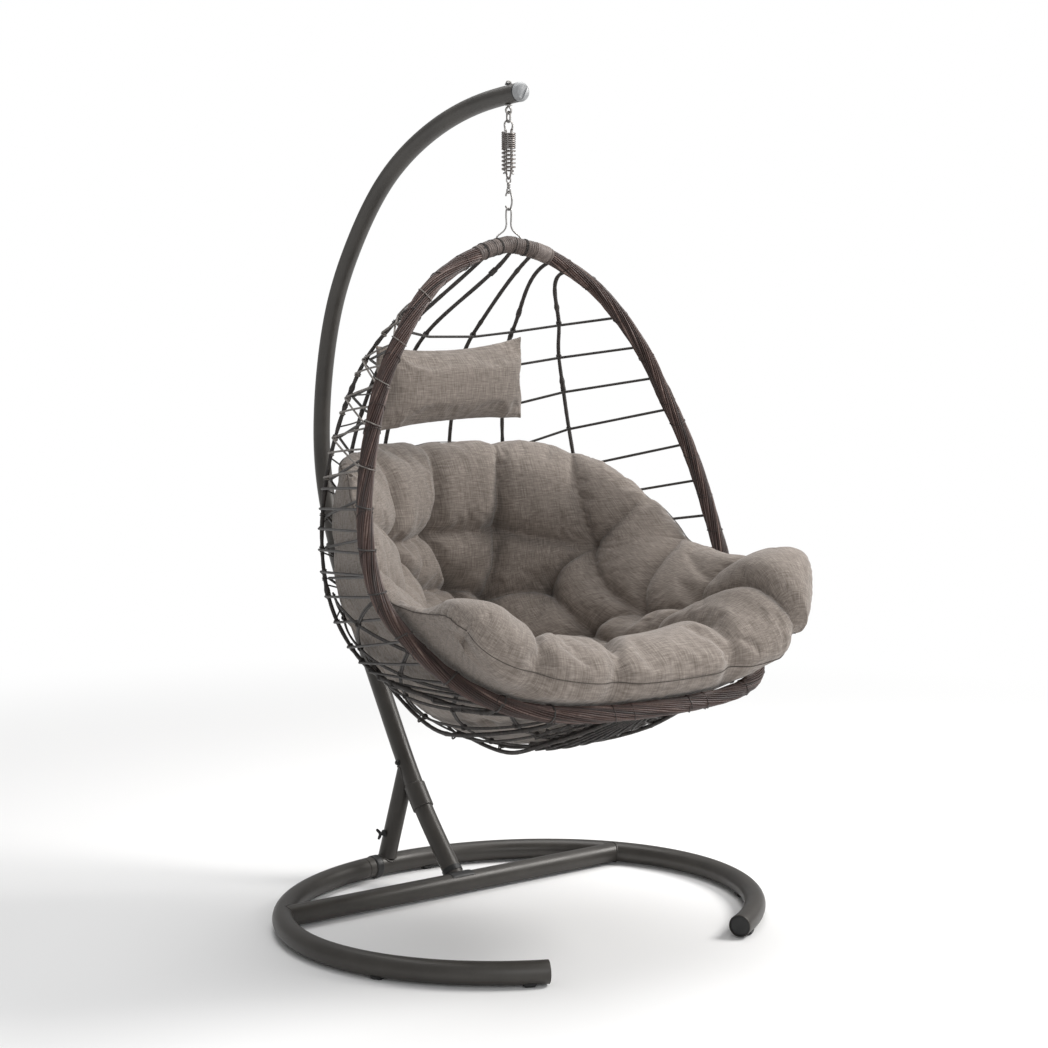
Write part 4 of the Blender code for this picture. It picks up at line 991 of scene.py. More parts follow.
def rim_backward(t, side=1):
    """The direction, square to the rim, in which the basket's surface leaves it."""
    along = rim_along(t, side)
    away = np.array([0, *(read(BACK, t) - read(RIM, t)[1:])])
    return unit(away - along * away.dot(along))


def t_where(values, wanted):
    past = values >= wanted if values[0] < wanted else values <= wanted
    return float(FINE[int(np.argmax(past))])


def near_rim(points):
    """Distance from the rim's middle line."""
    points = np.atleast_2d(points)
    rim = place(RIM[::5])
    near = np.stack([np.abs(points[:, 0]), points[:, 1], points[:, 2]], axis=1)
    return np.linalg.norm(near[:, None] - rim[None], axis=2).min(axis=1)


def waves(length, count, scale, seed):
    """Smooth random values along a length, about one change every scale metres."""
    maker = np.random.default_rng(seed)
    knots = max(4, int(length / scale))
    return np.interp(np.linspace(0, knots - 1, count), np.arange(knots), maker.normal(0, 1, knots))


TWIST_LENGTH = 0.42  # metres of rim over which the strands turn by the twist, in radians


def build_rim():
    """The rim's wrap: long strands laid side by side, twisting slowly around the tube inside."""
    half = rim_point(np.linspace(SLEEVE_SHARE, 1, 700))
    path = even(np.concatenate([half, (half * MIRROR)[-2::-1]]), 0.0042)
    run = lengths_along(path)
    strands = 22
    per_strand = 6
    sides = strands * per_strand
    twist = 4.0
    share = (np.arange(sides) % per_strand) / per_strand
    which = np.arange(sides) // per_strand
    lobe = np.sin(share * math.pi) ** 0.7
    drift = np.stack([waves(run[-1], len(path), 0.05, 100 + k) for k in range(strands)], axis=1)
    shade = random.random(strands)
    swell = np.stack([waves(run[-1], len(path), 0.03, 300 + k) for k in range(strands)], axis=1)
    depth = 0.0026
    inner = RIM_RADIUS - 0.0008 - depth
    radii = inner + depth * lobe[None, :] * (1 + 0.12 * swell[:, which])
    radii += 0.00065 * drift[:, which] * lobe[None, :]
    _, faces, grain = sweep(path, radii, sides)
    _, side, up = frames_along(path)
    angle = 2 * math.pi * (np.arange(sides) + 0.5) / sides + (run / TWIST_LENGTH)[:, None] * twist
    angle = angle + 0.05 * drift[:, which] * lobe[None, :]
    around = np.cos(angle)[..., None] * side[:, None] + np.sin(angle)[..., None] * up[:, None]
    points = (path[:, None] + around * radii[..., None]).reshape(-1, 3)
    grain = grain.reshape(len(path), sides, 3)
    grain[..., 1] = np.clip(shade[which][None, :] + 0.16 * drift[:, which], 0, 1)
    grain[..., 2] = lobe[None, :]
    piece("rim_wicker_strands", [(points, faces, grain.reshape(-1, 3))], RATTAN, "basket", "wicker",
          ["rim_wicker"], sharp=80)


def bind_rim(t, side, turns, cord, pitch, lean=0.0, seed=0):
    """A few turns of cord around the rim."""
    axis = unit(rim_along(t, side) + lean * rim_backward(t, side))
    return sweep(helix(rim_point(t, side), axis, RIM_RADIUS + cord * 0.55, turns, pitch, seed), cord, 10,
                 rounding=cord * 0.5)


def build_rim_bindings():
    """Fine split cane that holds the strands together along the rim."""
    parts = []
    for number, t in enumerate(np.arange(0.115, 0.99, 0.058)):
        t = float(t + random.normal(0, 0.008))
        for side in (1, -1):
            parts.append(bind_rim(min(t, 0.995), side, 1.15, 0.0009, 0.0060, 0.5 * side, number))
    piece("rim_binding_threads", parts, RATTAN, "basket", "wicker")


def build_sleeve():
    """Tape wound tightly around the top of the rim, a plain band at its right end, and thin bindings."""
    half = rim_point(np.linspace(0, SLEEVE_SHARE, 120))
    path = even(np.concatenate([(half * MIRROR)[:0:-1], half]), 0.0008)
    run = lengths_along(path)
    share = run / run[-1]
    pitch = 0.0062
    wind = np.abs(np.sin(math.pi * run / pitch)) ** 0.5
    radii = RIM_RADIUS - 0.0008 + 0.0016 * wind + 0.0003 * waves(run[-1], len(path), 0.012, 5)
    piece("rim_top_sleeve_tape", [sweep(path, radii, 48)], TAPE, "basket", "sleeve_tape", ["rim_top_sleeve"])
    band = np.nonzero((share > 0.80) & (share < 0.965))[0]
    end_radii = RIM_RADIUS + 0.0014 + 0.0002 * waves(run[-1], len(band), 0.010, 6)
    parts = [sweep(path[band], end_radii, 48, rounding=0.0008)]
    piece("sleeve_end_band", parts, TAPE_END, "basket", "sleeve_tape")
    parts = []
    for x, turns in ((-0.038, 3), (0.038, 3), (-0.086, 2), (-0.060, 1.2), (0.012, 1.2)):
        i = int(np.argmin(np.abs(path[:, 0] - x)))
        axis = unit(path[i + 1] - path[i - 1])
        parts.append(sweep(helix(path[i], axis, RIM_RADIUS + 0.0010, turns, 0.0021, x * 40, 30), 0.0008, 8))
    piece("sleeve_bindings", parts, RIB_WRAP, "basket", "cord")
    screws = []
    for x in (-0.018, -0.086):
        i = int(np.argmin(np.abs(path[:, 0] - x)))
        out = unit(np.array([-0.35, -0.80, 0.40]))
        head = [(0, 0), (0.0034, 0), (0.0036, 0.0006), (0.0028, 0.0017), (0.0012, 0.0019), (0.0010, 0.0009),
                (0, 0.0009)]
        screws.append(lathe(head, path[i] + out * (RIM_RADIUS - 0.0002), out, 24))
    piece("sleeve_screws", screws, BLACK, "basket", "black_plastic")


def rib_path(angle, top_x):
    side = 1 if angle > 0 else -1
    upper_side = 1 if top_x > 0 else -1
    start = t_where(RIM[:, 0], abs(top_x))
    lip = RIM[:, 0].copy()
    lip[: int(np.argmax(lip))] = lip.max()
    end = t_where(lip, RIB_ENDS[abs(angle)])
    reach = RIM_RADIUS + 0.0030
    path = [rim_point(start, upper_side) + rim_backward(start, upper_side) * d
            for d in (reach, reach + 0.006)]
    ts = np.linspace(max(RIB_LEVEL, start + RIB_LEAD), end, 17, endpoint=False)
    ease = np.sin(np.minimum((end - ts) / RIB_LEAD, 1.0) * math.pi / 2)
    line = surface(ts, side * (90 - (90 - abs(angle)) * ease))
    path += list(line[near_rim(line) > reach + 0.016])
    path += [rim_point(end, side) + rim_backward(end, side) * d for d in (reach + 0.010, reach)]
    first = path[0] - rim_backward(start, upper_side) * 0.012
    last = path[-1] - rim_backward(end, side) * 0.012
    return smooth([first] + path + [last], 0.0024)


RIBS = [rib_path(*pair) for pair in zip(RIB_ANGLES, RIB_STARTS)]


def build_ribs():
    """Steel ribs bound with cord: a fine winding, uneven lumps, and tied lumps here and there."""
    lumpy = {0: 1.6, 4: 1.3, 5: 1.5}  # how uneven some ribs are, by number
    winding = 0.0052
    for number, path in enumerate(RIBS):
        run = lengths_along(path)
        amount = lumpy.get(number, 0.8)
        radii = RIB_RADIUS + 0.0005 + 0.00016 * amount * waves(run[-1], len(path), 0.012, 20 + number)
        maker = np.random.default_rng(50 + number)
        for centre in maker.uniform(0.05, run[-1] - 0.05, int(7 * amount)):
            radii = radii + 0.0012 * amount * np.exp(-(((run - centre) / 0.008) ** 2))
        sides = 16
        turn = (run[:, None] / winding * 2 * math.pi
                + np.linspace(0, 2 * math.pi, sides, endpoint=False)[None, :])
        skin = radii[:, None] + 0.00030 * np.sin(turn)
        parts = [sweep(path, skin, sides)]
        if number == 2:  # a thicker ferrule near the top of one rib
            i = int(np.searchsorted(run, 0.075))
            parts.append(sweep(path[i : i + 9], 0.0068, 20, rounding=0.001))
        piece(f"rib_{number + 1}_bound", parts, RIB_WRAP, "basket", "rib_wrap", [f"rib_{number + 1}"],
              sharp=60)


KNOT_PITCH = 0.0042


def nearest_step(path, point):
    """Index of a path's nearest point, at least two steps from its ends."""
    return int(np.clip(np.argmin(np.linalg.norm(path - point, axis=1)), 2, len(path) - 3))


def cord_ends(number):
    at_rim, at_back = CORD_LEVELS[number]
    return t_where(RIM[:, 2], at_rim), t_where(BACK[:, 1], at_back)


def build_lacing():
    """Taut cords across the ribs, tied once round each rib and running to the rim on both sides."""
    inset = RIB_RADIUS + CORD_RADIUS + 0.0012
    for number in range(len(CORD_LEVELS)):
        rim_t, back_t = cord_ends(number)
        path = [rim_point(rim_t, -1) + rim_backward(rim_t, -1) * (RIM_RADIUS - 0.002)]
        parts = []
        for angle, rib in zip(RIB_ANGLES, RIBS):
            share = abs(math.sin(math.radians(angle))) ** 1.5
            point = basket_point(back_t + (rim_t - back_t) * share, angle, inset)
            path.append(point)
            i = nearest_step(rib, point)
            knot = helix(rib[i], rib[i + 2] - rib[i - 2], RIB_RADIUS + 0.0012, random.uniform(1.2, 2.2),
                         KNOT_PITCH, random.uniform(0, 6), 16)
            parts.append(sweep(knot, 0.0017, 8, rounding=0.001))
        path.append(rim_point(rim_t, 1) + rim_backward(rim_t, 1) * (RIM_RADIUS - 0.002))
        corners = np.array(path)
        fine = even(corners, 0.004)
        for _ in range(3):
            fine[1:-1] = (fine[:-2] + 2 * fine[1:-1] + fine[2:]) / 4
        parts.append(sweep(fine, CORD_RADIUS * (1 + 0.03 * waves(1, len(fine), 0.05, number)), 14))
        name = f"lacing_cord_{number + 1}"
        piece(name + "_tied", parts, DARK_CORD, "basket", "cord", [name])


def build_side_lacing():
    """Cord from the rim's left side to the outer rib: light zig-zags above, plain dark cords below."""
    outer = RIBS[0]
    for name, finish, levels, cord in (
        ("side_lacing_light", GREY_CORD, np.arange(0.175, 0.47, 0.030), 0.0023),
        ("side_lacing_dark", DARK_CORD, np.arange(0.470, 0.86, 0.030), 0.0030),
    ):
        parts = []
        for number, rim_t in enumerate(levels):
            here = rim_point(rim_t, -1)
            start = here + rim_backward(rim_t, -1) * (RIM_RADIUS - 0.001) + rim_along(rim_t, -1) * 0.004
            zigzag = finish is GREY_CORD and number % 2
            for shift in ((-0.030, 0.030) if zigzag else (0.022,)):
                wanted = surface(rim_t + shift, RIB_ANGLES[0])
                i = nearest_step(outer, wanted)
                side_step = unit(start - outer[i]) * 0.001
                end = outer[i] - inward(rim_t, -60) * (RIB_RADIUS + cord) + side_step
                middle = (start + end) / 2 - inward(rim_t, -72) * 0.003
                parts.append(sweep(smooth([start, middle, end], 0.004), cord, 10))
                knot = helix(outer[i], outer[i + 2] - outer[i - 2], RIB_RADIUS + 0.0014, 1.8, KNOT_PITCH,
                             number)
                parts.append(sweep(knot, 0.0019, 8, rounding=0.001))
            if number % 2:
                parts.append(bind_rim(rim_t, -1, 1.05, cord * 0.62, 0.0050, 0.5, number * 1.7))
        piece(name, parts, finish, "basket", "cord")
    parts = []
    maker = np.random.default_rng(11)
    for low, high in ((0, 1), (1, 2)):
        for level in np.linspace(1.30, 0.72, 9):
            ends = []
            for rib, shift in ((RIBS[low], 0), (RIBS[high], maker.uniform(-0.05, 0.05))):
                half = len(rib) * 3 // 4
                ends.append(rib[int(np.argmin(np.abs(rib[:half, 2] - level - shift)))])
            push = inward(0.5, -40) * 0.004
            tie = [ends[0] + push, (ends[0] + ends[1]) / 2 + push * 2, ends[1] + push]
            parts.append(sweep(smooth(tie, 0.005), 0.0019, 8))
    piece("rib_ties", parts, NET_CORD, "basket", "cord")


def net_cords(slope, starts, t_range, inset, gap, cord):
    """One family of slanting net cords on the basket's surface, each of one or two strands."""
    parts = []
    for start in starts:
        t = np.linspace(*t_range, 90)
        degrees = start + slope * (t - t_range[0])
        inside = np.abs(degrees) < 86
        if inside.sum() < 6:
            continue
        t, degrees = t[inside], degrees[inside]
        path = basket_point(t, degrees, np.full(len(t), inset))
        far = near_rim(path) > RIM_RADIUS + cord * 0.5
        if far.sum() < 6:
            continue
        path, normal = path[far], inward(t, degrees)[far]
        wobble = 0.0016 * waves(1, len(path), 0.09, int(abs(start) * 10 + abs(slope)) + (slope > 0))
        path = path + np.cross(unit(np.gradient(path, axis=0)), normal) * wobble[:, None]
        across = np.cross(unit(np.gradient(path, axis=0)), normal)
        for shift in (-gap, gap) if gap else (0,):
            parts.append(sweep(even(path + across * shift, 0.006), cord, 8))
    return parts


def build_net():
    """The knotted net under the seat: doubled cords in diamonds, closer together at the front lip."""
    inset = 0.0125
    parts = []
    slope = 430.0  # degrees round the basket for its whole length
    starts = np.arange(-252, 253, 28.0)
    t_range = (0.64, 0.978)
    for sign in (1, -1):
        parts += net_cords(sign * slope, starts, t_range, inset + 0.0012 * sign, 0.0026, 0.0024)
    lip_slope = 420.0
    lip_starts = np.arange(-150, 151, 12.0)
    lip_range = (0.900, 0.990)
    for sign in (1, -1):
        lip_inset = inset - 0.004 + 0.002 * sign
        parts += net_cords(sign * lip_slope, lip_starts, lip_range, lip_inset, 0, 0.0023)
    for t in np.linspace(0.915, 0.985, 7):
        degrees = np.linspace(-80, 80, 120)
        path = basket_point(np.full(120, t), degrees, np.full(120, inset - 0.003))
        path = path[near_rim(path) > RIM_RADIUS]
        if len(path) > 5:
            parts.append(sweep(even(path, 0.008), 0.0020, 8))
    for first in starts:
        for second in starts:
            t = t_range[0] + (second - first) / (2 * slope)
            degrees = (first + second) / 2
            if not t_range[0] < t < t_range[1] or abs(degrees) > 84:
                continue
            point = basket_point(t, degrees, inset)
            if near_rim(point)[0] < RIM_RADIUS + 0.004:
                continue
            along = surface(t, degrees + 1) - surface(t, degrees - 1)
            parts.append(sweep(helix(point, along, 0.0052, 1.8, 0.0046, first), 0.0022, 7, rounding=0.0008))
    for degrees, t in ((-37, 0.80), (-24, 0.83), (-9, 0.86), (17, 0.845)):
        point = basket_point(t, degrees, 0.009)
        down = -inward(t, degrees)
        aside = square_to(down)[0] * math.cos(degrees) + square_to(down)[1] * math.sin(degrees)
        bow = [point - aside * 0.011, point - aside * 0.007 + down * 0.010,
               point + aside * 0.002 + down * 0.0145, point + aside * 0.010 + down * 0.008,
               point + aside * 0.012]
        parts.append(sweep(smooth(bow, 0.002), 0.0019, 8, rounding=0.0008))
    piece("seat_net_cords", parts, NET_CORD, "basket", "net", ["seat_net"])


# ---------------------------------------------------------------- soft parts
def nearest(places, points):
    """Index of the nearest place for each point, worked through in slices."""
    found = np.empty(len(points), int)
    squares = np.sum(places**2, axis=1)
    for first in range(0, len(points), 2000):
        some = points[first : first + 2000]
        found[first : first + 2000] = np.argmin(squares[None] - 2 * some @ places.T, axis=1)
    return found


SAMPLE_T, SAMPLE_ANGLE = (a.ravel() for a in np.meshgrid(np.linspace(0.36, 1, 80), np.linspace(-88, 88, 81)))
SAMPLES = surface(SAMPLE_T, SAMPLE_ANGLE)
SAMPLE_INWARD = inward(SAMPLE_T, SAMPLE_ANGLE)
SAMPLE_REACH = CUSHION_CLEAR + (CORD_SAG * np.maximum(0, 1 - ((np.abs(SAMPLE_ANGLE) - 70) / 20) ** 2)
                                * np.clip((0.85 - SAMPLE_T) / 0.15, 0, 1))
RIM_BOTH = np.concatenate([place(RIM[::6]), place(RIM[::6] * MIRROR)])


def kept_clear(points, extra, rim_room=0.005):
    """Moves points into the basket until they clear the cords, and off the rim."""
    shape = points.shape
    flat = points.reshape(-1, 3).copy()
    extra = np.broadcast_to(extra, shape[:-1]).ravel()
    near = nearest(SAMPLES, flat)
    lacking = SAMPLE_REACH[near] + extra - np.sum((flat - SAMPLES[near]) * SAMPLE_INWARD[near], axis=1)
    flat += SAMPLE_INWARD[near] * np.maximum(lacking, 0)[:, None]
    away = flat - RIM_BOTH[nearest(RIM_BOTH, flat)]
    distance = np.linalg.norm(away, axis=1)
    wanted = RIM_RADIUS + rim_room + extra
    flat += away / distance[:, None] * np.maximum(wanted - distance, 0)[:, None]
    return flat.reshape(shape)


def relaxed(sheet, rounds):
    sheet = sheet.copy()
    for _ in range(rounds):
        inner = sheet[:-2, 1:-1] + sheet[2:, 1:-1] + sheet[1:-1, :-2] + sheet[1:-1, 2:]
        sheet[1:-1, 1:-1] = 0.5 * sheet[1:-1, 1:-1] + 0.125 * inner
    return sheet


def sheet_normals(sheet):
    return unit(np.cross(np.gradient(sheet, axis=1), np.gradient(sheet, axis=0)))


def two_skins(top, bottom, grain):
    """A closed form from two grids that share their border."""
    rows, columns = top.shape[:2]
    index = np.arange(rows * columns).reshape(rows, columns)
    lower = index.copy()
    inner = rows * columns + np.arange((rows - 2) * (columns - 2)).reshape(rows - 2, columns - 2)
    lower[1:-1, 1:-1] = inner
    points = np.concatenate([top.reshape(-1, 3), bottom[1:-1, 1:-1].reshape(-1, 3)])
    both = np.concatenate([grain.reshape(-1, 3), grain[1:-1, 1:-1].reshape(-1, 3)])
    faces = []
    for skin, flip in ((index, False), (lower, True)):
        corners = np.stack([skin[:-1, :-1], skin[:-1, 1:], skin[1:, 1:], skin[1:, :-1]], axis=-1)
        corners = corners.reshape(-1, 4)
        faces += (corners[:, ::-1] if flip else corners).tolist()
    return points, faces, both


TUFTS = [  # (across, along) on the cushion: across from -1 to 1, along from the back's top to the front
    (-0.136, 0.151), (0.235, 0.151), (0.660, 0.218), (-0.560, 0.180),
    (-0.007, 0.271), (0.150, 0.312), (0.413, 0.341), (-0.330, 0.300),
    (0.200, 0.520), (0.426, 0.511), (0.590, 0.541), (-0.050, 0.470), (-0.420, 0.470), (-0.700, 0.420),
    (0.626, 0.674), (0.350, 0.700), (0.020, 0.720), (-0.330, 0.720), (-0.720, 0.640),
]
PULLS = [  # where the front, side and back seams are drawn in
    (-0.529, 1.0), (-0.193, 1.0), (0.300, 1.0), (0.800, 1.0), (-1.0, 0.400),
    (0.980, 0.231), (-0.980, 0.250), (-0.080, 0.0), (0.305, 0.0), (-0.500, 0.0), (1.0, 0.095), (-1.0, 0.100),
    (0.745, 0.0), (1.0, 0.530), (-1.0, 0.550),
]
CREASES = [  # pairs of tufts, or of a tuft and a pull, that a fold joins
    ("t0", "p7"), ("t1", "p8"), ("t2", "p12"), ("t2", "p10"), ("t3", "p9"), ("t3", "p11"),
    ("t0", "t3"), ("t0", "t1"), ("t1", "t2"), ("t0", "t4"), ("t1", "t5"), ("t4", "t5"), ("t5", "t6"),
    ("t2", "t6"), ("t2", "t10"), ("t6", "t9"), ("t9", "t10"), ("t10", "p5"), ("t10", "t14"),
    ("t14", "p13"), ("t14", "p3"),
    ("t3", "t7"), ("t4", "t7"), ("t5", "t8"), ("t8", "t9"), ("t4", "t11"), ("t8", "t11"), ("t7", "t12"),
    ("t11", "t12"), ("t12", "t13"), ("t3", "t13"), ("t13", "p6"), ("t9", "t15"), ("t14", "t15"),
    ("t15", "t16"), ("t16", "t17"), ("t17", "t18"), ("t11", "t16"), ("t12", "t17"), ("t15", "p2"),
    ("t16", "p1"), ("t17", "p0"),
]
TUFT_REACH, TUFT_DEPTH = 0.080, 1.08  # metres round a tuft, and how far the skins meet there
PULL_REACH, FRONT_PULL_DEPTH, SIDE_PULL_DEPTH = 0.045, 0.70, 0.30
FOLD_REACH, FOLD_DEPTH = 0.054, 0.70
FOLD_BOW = 0.014  # how far a fold bows aside, as a share of the cushion's half width
FRONT_PULL, SIDE_PULL, PULL_SPREAD = 0.018, 0.007, 0.032
PLEAT_HEIGHT, PLEAT_FADE, PLEAT_START = 0.0034, 0.034, 0.010
FAR = 9.0  # metres, further than any point of the cushion is from a tuft
SEAM_GROOVE = 0.3
CLOTH = {
    "quality": 6, "mass": 0.15, "tension_stiffness": 18, "compression_stiffness": 18, "shear_stiffness": 8,
    "bending_stiffness": 0.35, "air_damping": 2, "vertex_group_mass": "held", "pin_stiffness": 1.0,
}


def sheet_at(sheet, across, along, us, vs):
    """A point of the cushion's middle surface, read between the grid's points."""
    k = np.interp(across, us, np.arange(len(us)))
    i = np.interp(along, vs, np.arange(len(vs)))
    k0 = np.minimum(k.astype(int), len(us) - 2)
    i0 = np.minimum(i.astype(int), len(vs) - 2)
    a, b = (k - k0)[:, None], (i - i0)[:, None]
    return (sheet[i0, k0] * (1 - a) * (1 - b) + sheet[i0, k0 + 1] * a * (1 - b)
            + sheet[i0 + 1, k0] * (1 - a) * b + sheet[i0 + 1, k0 + 1] * a * b)


def border_of(rows, columns):
    """True where a grid's point is on its border."""
    border = np.zeros((rows, columns), bool)
    border[[0, -1]] = True
    border[:, [0, -1]] = True
    return border


def shoulder(gap, reach):
    """1 in the bottom of a fold, falling along a circle's quarter to 0 at its reach."""
    return 1 - np.sqrt(1 - (1 - np.minimum(gap / reach, 1)) ** 2)


def inflate(target, pins, pressure, frames, cap, shrink):
    """Blows a closed form up as cloth, with some of its points held, and keeps the result."""
    mesh = target.data
    rest = np.empty(len(mesh.vertices) * 3)
    mesh.vertices.foreach_get("co", rest)
    rest = rest.reshape(-1, 3)
    held = target.vertex_groups.new(name="held")
    for weight in np.unique(np.round(pins[pins > 0.01], 1)):
        held.add(np.nonzero(np.round(pins, 1) == weight)[0].tolist(), float(weight), "REPLACE")
    step = target.modifiers.new("cloth", "CLOTH")
    settings = step.settings
    for key, value in CLOTH.items():
        setattr(settings, key, value)
    settings.shrink_min = shrink
    settings.use_pressure = True
    settings.uniform_pressure_force = pressure
    settings.effector_weights.gravity = 0
    step.collision_settings.use_collision = False
    step.collision_settings.use_self_collision = False
    step.point_cache.frame_start = 1
    step.point_cache.frame_end = frames
    scene = bpy.context.scene
    for number in range(1, frames + 1):
        scene.frame_set(number)
    view = bpy.context.evaluated_depsgraph_get()
    shaped = target.evaluated_get(view).data
    moved = np.empty(len(shaped.vertices) * 3)
    shaped.vertices.foreach_get("co", moved)
    moved = moved.reshape(-1, 3)
    target.modifiers.remove(step)
    scene.frame_set(1)
    shift = moved - rest
    size = np.maximum(np.linalg.norm(shift, axis=1, keepdims=True), 1e-9)
    shift *= cap * np.tanh(size / cap) / size
    mesh.vertices.foreach_set("co", (rest + shift).ravel())
    mesh.update()
    target.vertex_groups.remove(held)


def cushion_sheet(rows, columns):
    """The pad's middle surface as a grid, with its half thickness, rounding and place in the cloth."""
    line = np.linspace(0, 1, len(CUSHION_LINES))
    even_v = np.linspace(0, 1, rows)
    even_u = np.linspace(-1, 1, columns)
    vs = 0.55 * even_v + 0.45 * (1 - np.cos(math.pi * even_v)) / 2
    us = 0.55 * even_u + 0.45 * np.sin(even_u * math.pi / 2)
    middle = spline([entry[0] for entry in CUSHION_LINES], line, vs)
    v, u = np.meshgrid(vs, us, indexing="ij")
    turn = np.radians(90 * u)[..., None]
    right = spline([entry[1] for entry in CUSHION_LINES], line, vs)[:, None]
    left = spline([entry[2] for entry in CUSHION_LINES], line, vs)[:, None]
    border = np.where(u[..., None] > 0, right, left)
    x = np.abs(border[..., :1]) * np.sin(turn)
    rest = border[..., 1:] + (middle[:, None] - border[..., 1:]) * np.cos(turn)
    inside = np.minimum(np.minimum(v, 1 - v), (1 - np.abs(u)) / 2) / CUSHION_EDGE
    rounding = np.sqrt(1 - (1 - np.minimum(inside, 1)) ** 2)
    side = np.clip((np.abs(u) - 0.45) / 0.45, 0, 1) * np.clip((0.85 - v) / 0.25, np.where(u > 0, 0, 0.50), 1)
    thinning = np.where(u > 0, CUSHION_SIDE_THINNING[1], CUSHION_SIDE_THINNING[0])
    half = np.interp(vs, *zip(*CUSHION_HALF_THICKNESS))[:, None] * rounding * (1 - thinning * side)
    sheet = relaxed(kept_clear(place(np.concatenate([x, rest], axis=-1)), half), 60)
    return sheet, half, rounding, us, vs, u, v


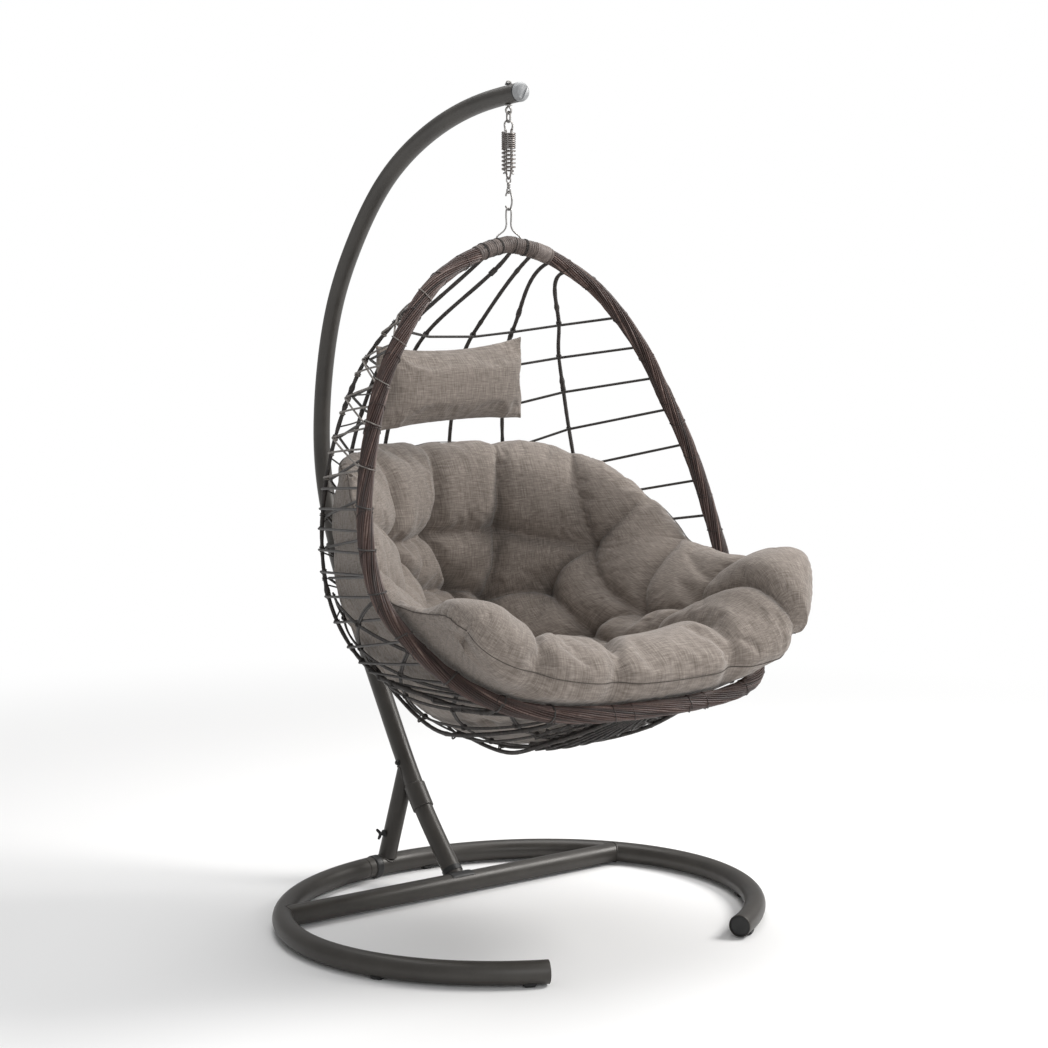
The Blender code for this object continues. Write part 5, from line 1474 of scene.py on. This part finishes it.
def build_cushion():
    """The tufted seat pad: it lines the basket, reaches past the rim's sides and rolls over the front lip."""
    rows, columns = 168, 176
    sheet, half, rounding, us, vs, u, v = cushion_sheet(rows, columns)
    normal = sheet_normals(sheet)
    grain = np.stack([u * CUSHION_CUT[0] / 2, v * CUSHION_CUT[1], 0 * u], axis=-1)

    spots = {f"t{i}": p for i, p in enumerate(TUFTS)} | {f"p{i}": p for i, p in enumerate(PULLS)}
    for name, (across, along) in spots.items():
        if name[0] == "p":
            centre, inner = sheet_at(sheet, np.array([across, across * 0.9]),
                                     np.array([along, 0.5 + (along - 0.5) * 0.9]), us, vs)
            gap = np.linalg.norm(sheet - centre, axis=2)
            pull = FRONT_PULL if along == 1 else SIDE_PULL
            sheet = sheet + unit(inner - centre) * (pull * np.exp(-((gap / PULL_SPREAD) ** 2)))[..., None]
    flat_sheet = sheet.reshape(-1, 3)
    dimple = np.zeros(rows * columns)
    pleat = np.zeros(rows * columns)
    tuft_gap = np.full(rows * columns, FAR)
    for number, (name, (across, along)) in enumerate(spots.items()):
        centre = sheet_at(sheet, np.array([across]), np.array([along]), us, vs)[0]
        gap = np.linalg.norm(flat_sheet - centre, axis=1)
        reach, depth = TUFT_REACH, TUFT_DEPTH
        if name[0] == "p":
            reach, depth = PULL_REACH, FRONT_PULL_DEPTH if along == 1 else SIDE_PULL_DEPTH
        dimple = np.maximum(dimple, depth * shoulder(gap, reach))
        around = np.arctan2((v.ravel() - along) * CUSHION_CUT[1], (u.ravel() - across) * CUSHION_CUT[0] / 2)
        ray = np.cos((6 + number % 3) * around + number * 1.7) + 0.5 * np.cos(11 * around + number)
        pleat += PLEAT_HEIGHT * ray * np.exp(-gap / PLEAT_FADE) * (1 - np.exp(-gap / PLEAT_START))
        if name[0] == "t":
            tuft_gap = np.minimum(tuft_gap, gap)
    fold = np.zeros(rows * columns)
    fold_gap = np.full(rows * columns, FAR)
    for first, second in CREASES:
        share = np.linspace(0, 1, 28)
        bow = FOLD_BOW * np.sin(share * math.pi) * random.choice([-1, 1])
        across = spots[first][0] + (spots[second][0] - spots[first][0]) * share + bow
        along = spots[first][1] + (spots[second][1] - spots[first][1]) * share
        trace = sheet_at(sheet, across, np.clip(along, 0, 1), us, vs)
        gap = np.linalg.norm(flat_sheet[:, None] - trace[None], axis=2)
        near = gap.argmin(axis=1)
        gap = gap.min(axis=1)
        ends = 0.62 + 0.38 * np.abs(2 * share[near] - 1) ** 1.5
        if second[0] == "p":  # a fold that dies away towards the seam
            ends = 1 - share[near] * (0.30 if spots[second][1] == 1 else 0.62)
        fold = np.maximum(fold, FOLD_DEPTH * ends * shoulder(gap, FOLD_REACH))
        fold_gap = np.minimum(fold_gap, gap)
    hollow = (1 - (1 - dimple) * (1 - fold)).reshape(rows, columns)
    inner_room = half * (1 - hollow) * 1.15 + pleat.reshape(rows, columns) * rounding
    front = np.clip((v - 0.70) / 0.15, 0, 1) * np.clip((u + 0.6) / 0.6, 0.2, 1)
    outer_room = half * (1 - 0.40 * hollow) * (1.20 + 1.05 * front)
    inner_skin = sheet - normal * inner_room[..., None]
    outer_skin = relaxed(kept_clear(sheet + normal * outer_room[..., None], 0), 3)
    for edge, beside in ((0, 1), (-1, -2)):
        sheet[edge] += (sheet[beside] - sheet[edge]) * SEAM_GROOVE
    for edge, beside in ((0, 1), (-1, -2)):
        sheet[:, edge] += (sheet[:, beside] - sheet[:, edge]) * SEAM_GROOVE
    border = border_of(rows, columns)
    outer_skin[border] = sheet[border]
    points, faces, both = two_skins(outer_skin, inner_skin, grain)
    cushion = piece("seat_cushion_linen", [(points, faces, both)], LINEN, "basket", "fabric",
                    ["seat_cushion"], sharp=180)
    pins = np.zeros(len(points))
    held = np.maximum(np.clip(1.3 - tuft_gap / 0.008, 0, 1),
                      0.6 * np.clip(1.2 - fold_gap / 0.006, 0, 1))
    held = held.reshape(rows, columns)
    pins[: rows * columns] = np.where(border, 1.0, np.maximum(held, 0.5)).ravel()
    pins[rows * columns :] = held[1:-1, 1:-1].ravel()
    inflate(cushion, pins, pressure=4.0, frames=14, cap=0.012, shrink=-0.04)
    subdivided(cushion)
    edge = np.concatenate([sheet[0], sheet[1:, -1], sheet[-1, -2::-1], sheet[-2:0:-1, 0]])
    stitched = even(np.concatenate([edge, edge[:1]]), 0.004)[:-1]
    piece("seat_cushion_seam", [sweep(stitched, 0.0012, 8, closed=True)], THREAD, "basket", "fabric")


def build_pillow():
    """A head pillow with pointed corners and a dipping top edge."""
    rows, columns = 72, 110
    width, depth, height = PILLOW_SIZE
    spin = math.radians(PILLOW_TURN)
    u, v = np.meshgrid(np.linspace(-1, 1, columns), np.linspace(-1, 1, rows))
    x = width / 2 * u * (1 - 0.05 * (1 - v**2))
    z = height / 2 * v * (1 - 0.10 * (1 - u**2)) - 0.010 * (1 - u**2) * (v > 0) * v
    z = z + x * math.sin(math.radians(PILLOW_ROLL))
    crown = np.sqrt(np.maximum(0, 1 - np.abs(u) ** 3.2)) * np.sqrt(np.maximum(0, 1 - np.abs(v) ** 2.6))
    grain = np.stack([x, z, 0 * x], axis=-1)
    skins = []
    for sign in (-1, 1):
        y = sign * depth / 2 * crown
        turned = (x * math.cos(spin) - y * math.sin(spin), x * math.sin(spin) + y * math.cos(spin))
        skin = np.stack([*turned, z], axis=-1)
        skins.append(place(skin + np.array(PILLOW_PLACE)))
    points, faces, both = two_skins(skins[0], skins[1], grain)
    pillow = piece("head_pillow_linen", [(points, faces, both)], PILLOW_LINEN, "basket", "fabric",
                   ["head_pillow"], sharp=180)
    pins = np.zeros(len(points))
    pins[: rows * columns] = border_of(rows, columns).ravel()
    inflate(pillow, pins, pressure=2.5, frames=12, cap=0.008, shrink=-0.03)
    subdivided(pillow)


build_base()
build_glides()
build_pole()
build_arch_cap()
build_leg()
build_hanger()
build_rim()
build_rim_bindings()
build_sleeve()
build_ribs()
build_lacing()
build_side_lacing()
build_net()
build_cushion()
build_pillow()

bpy.data.objects["rim_tube"].material_slots[0].material = POWDER
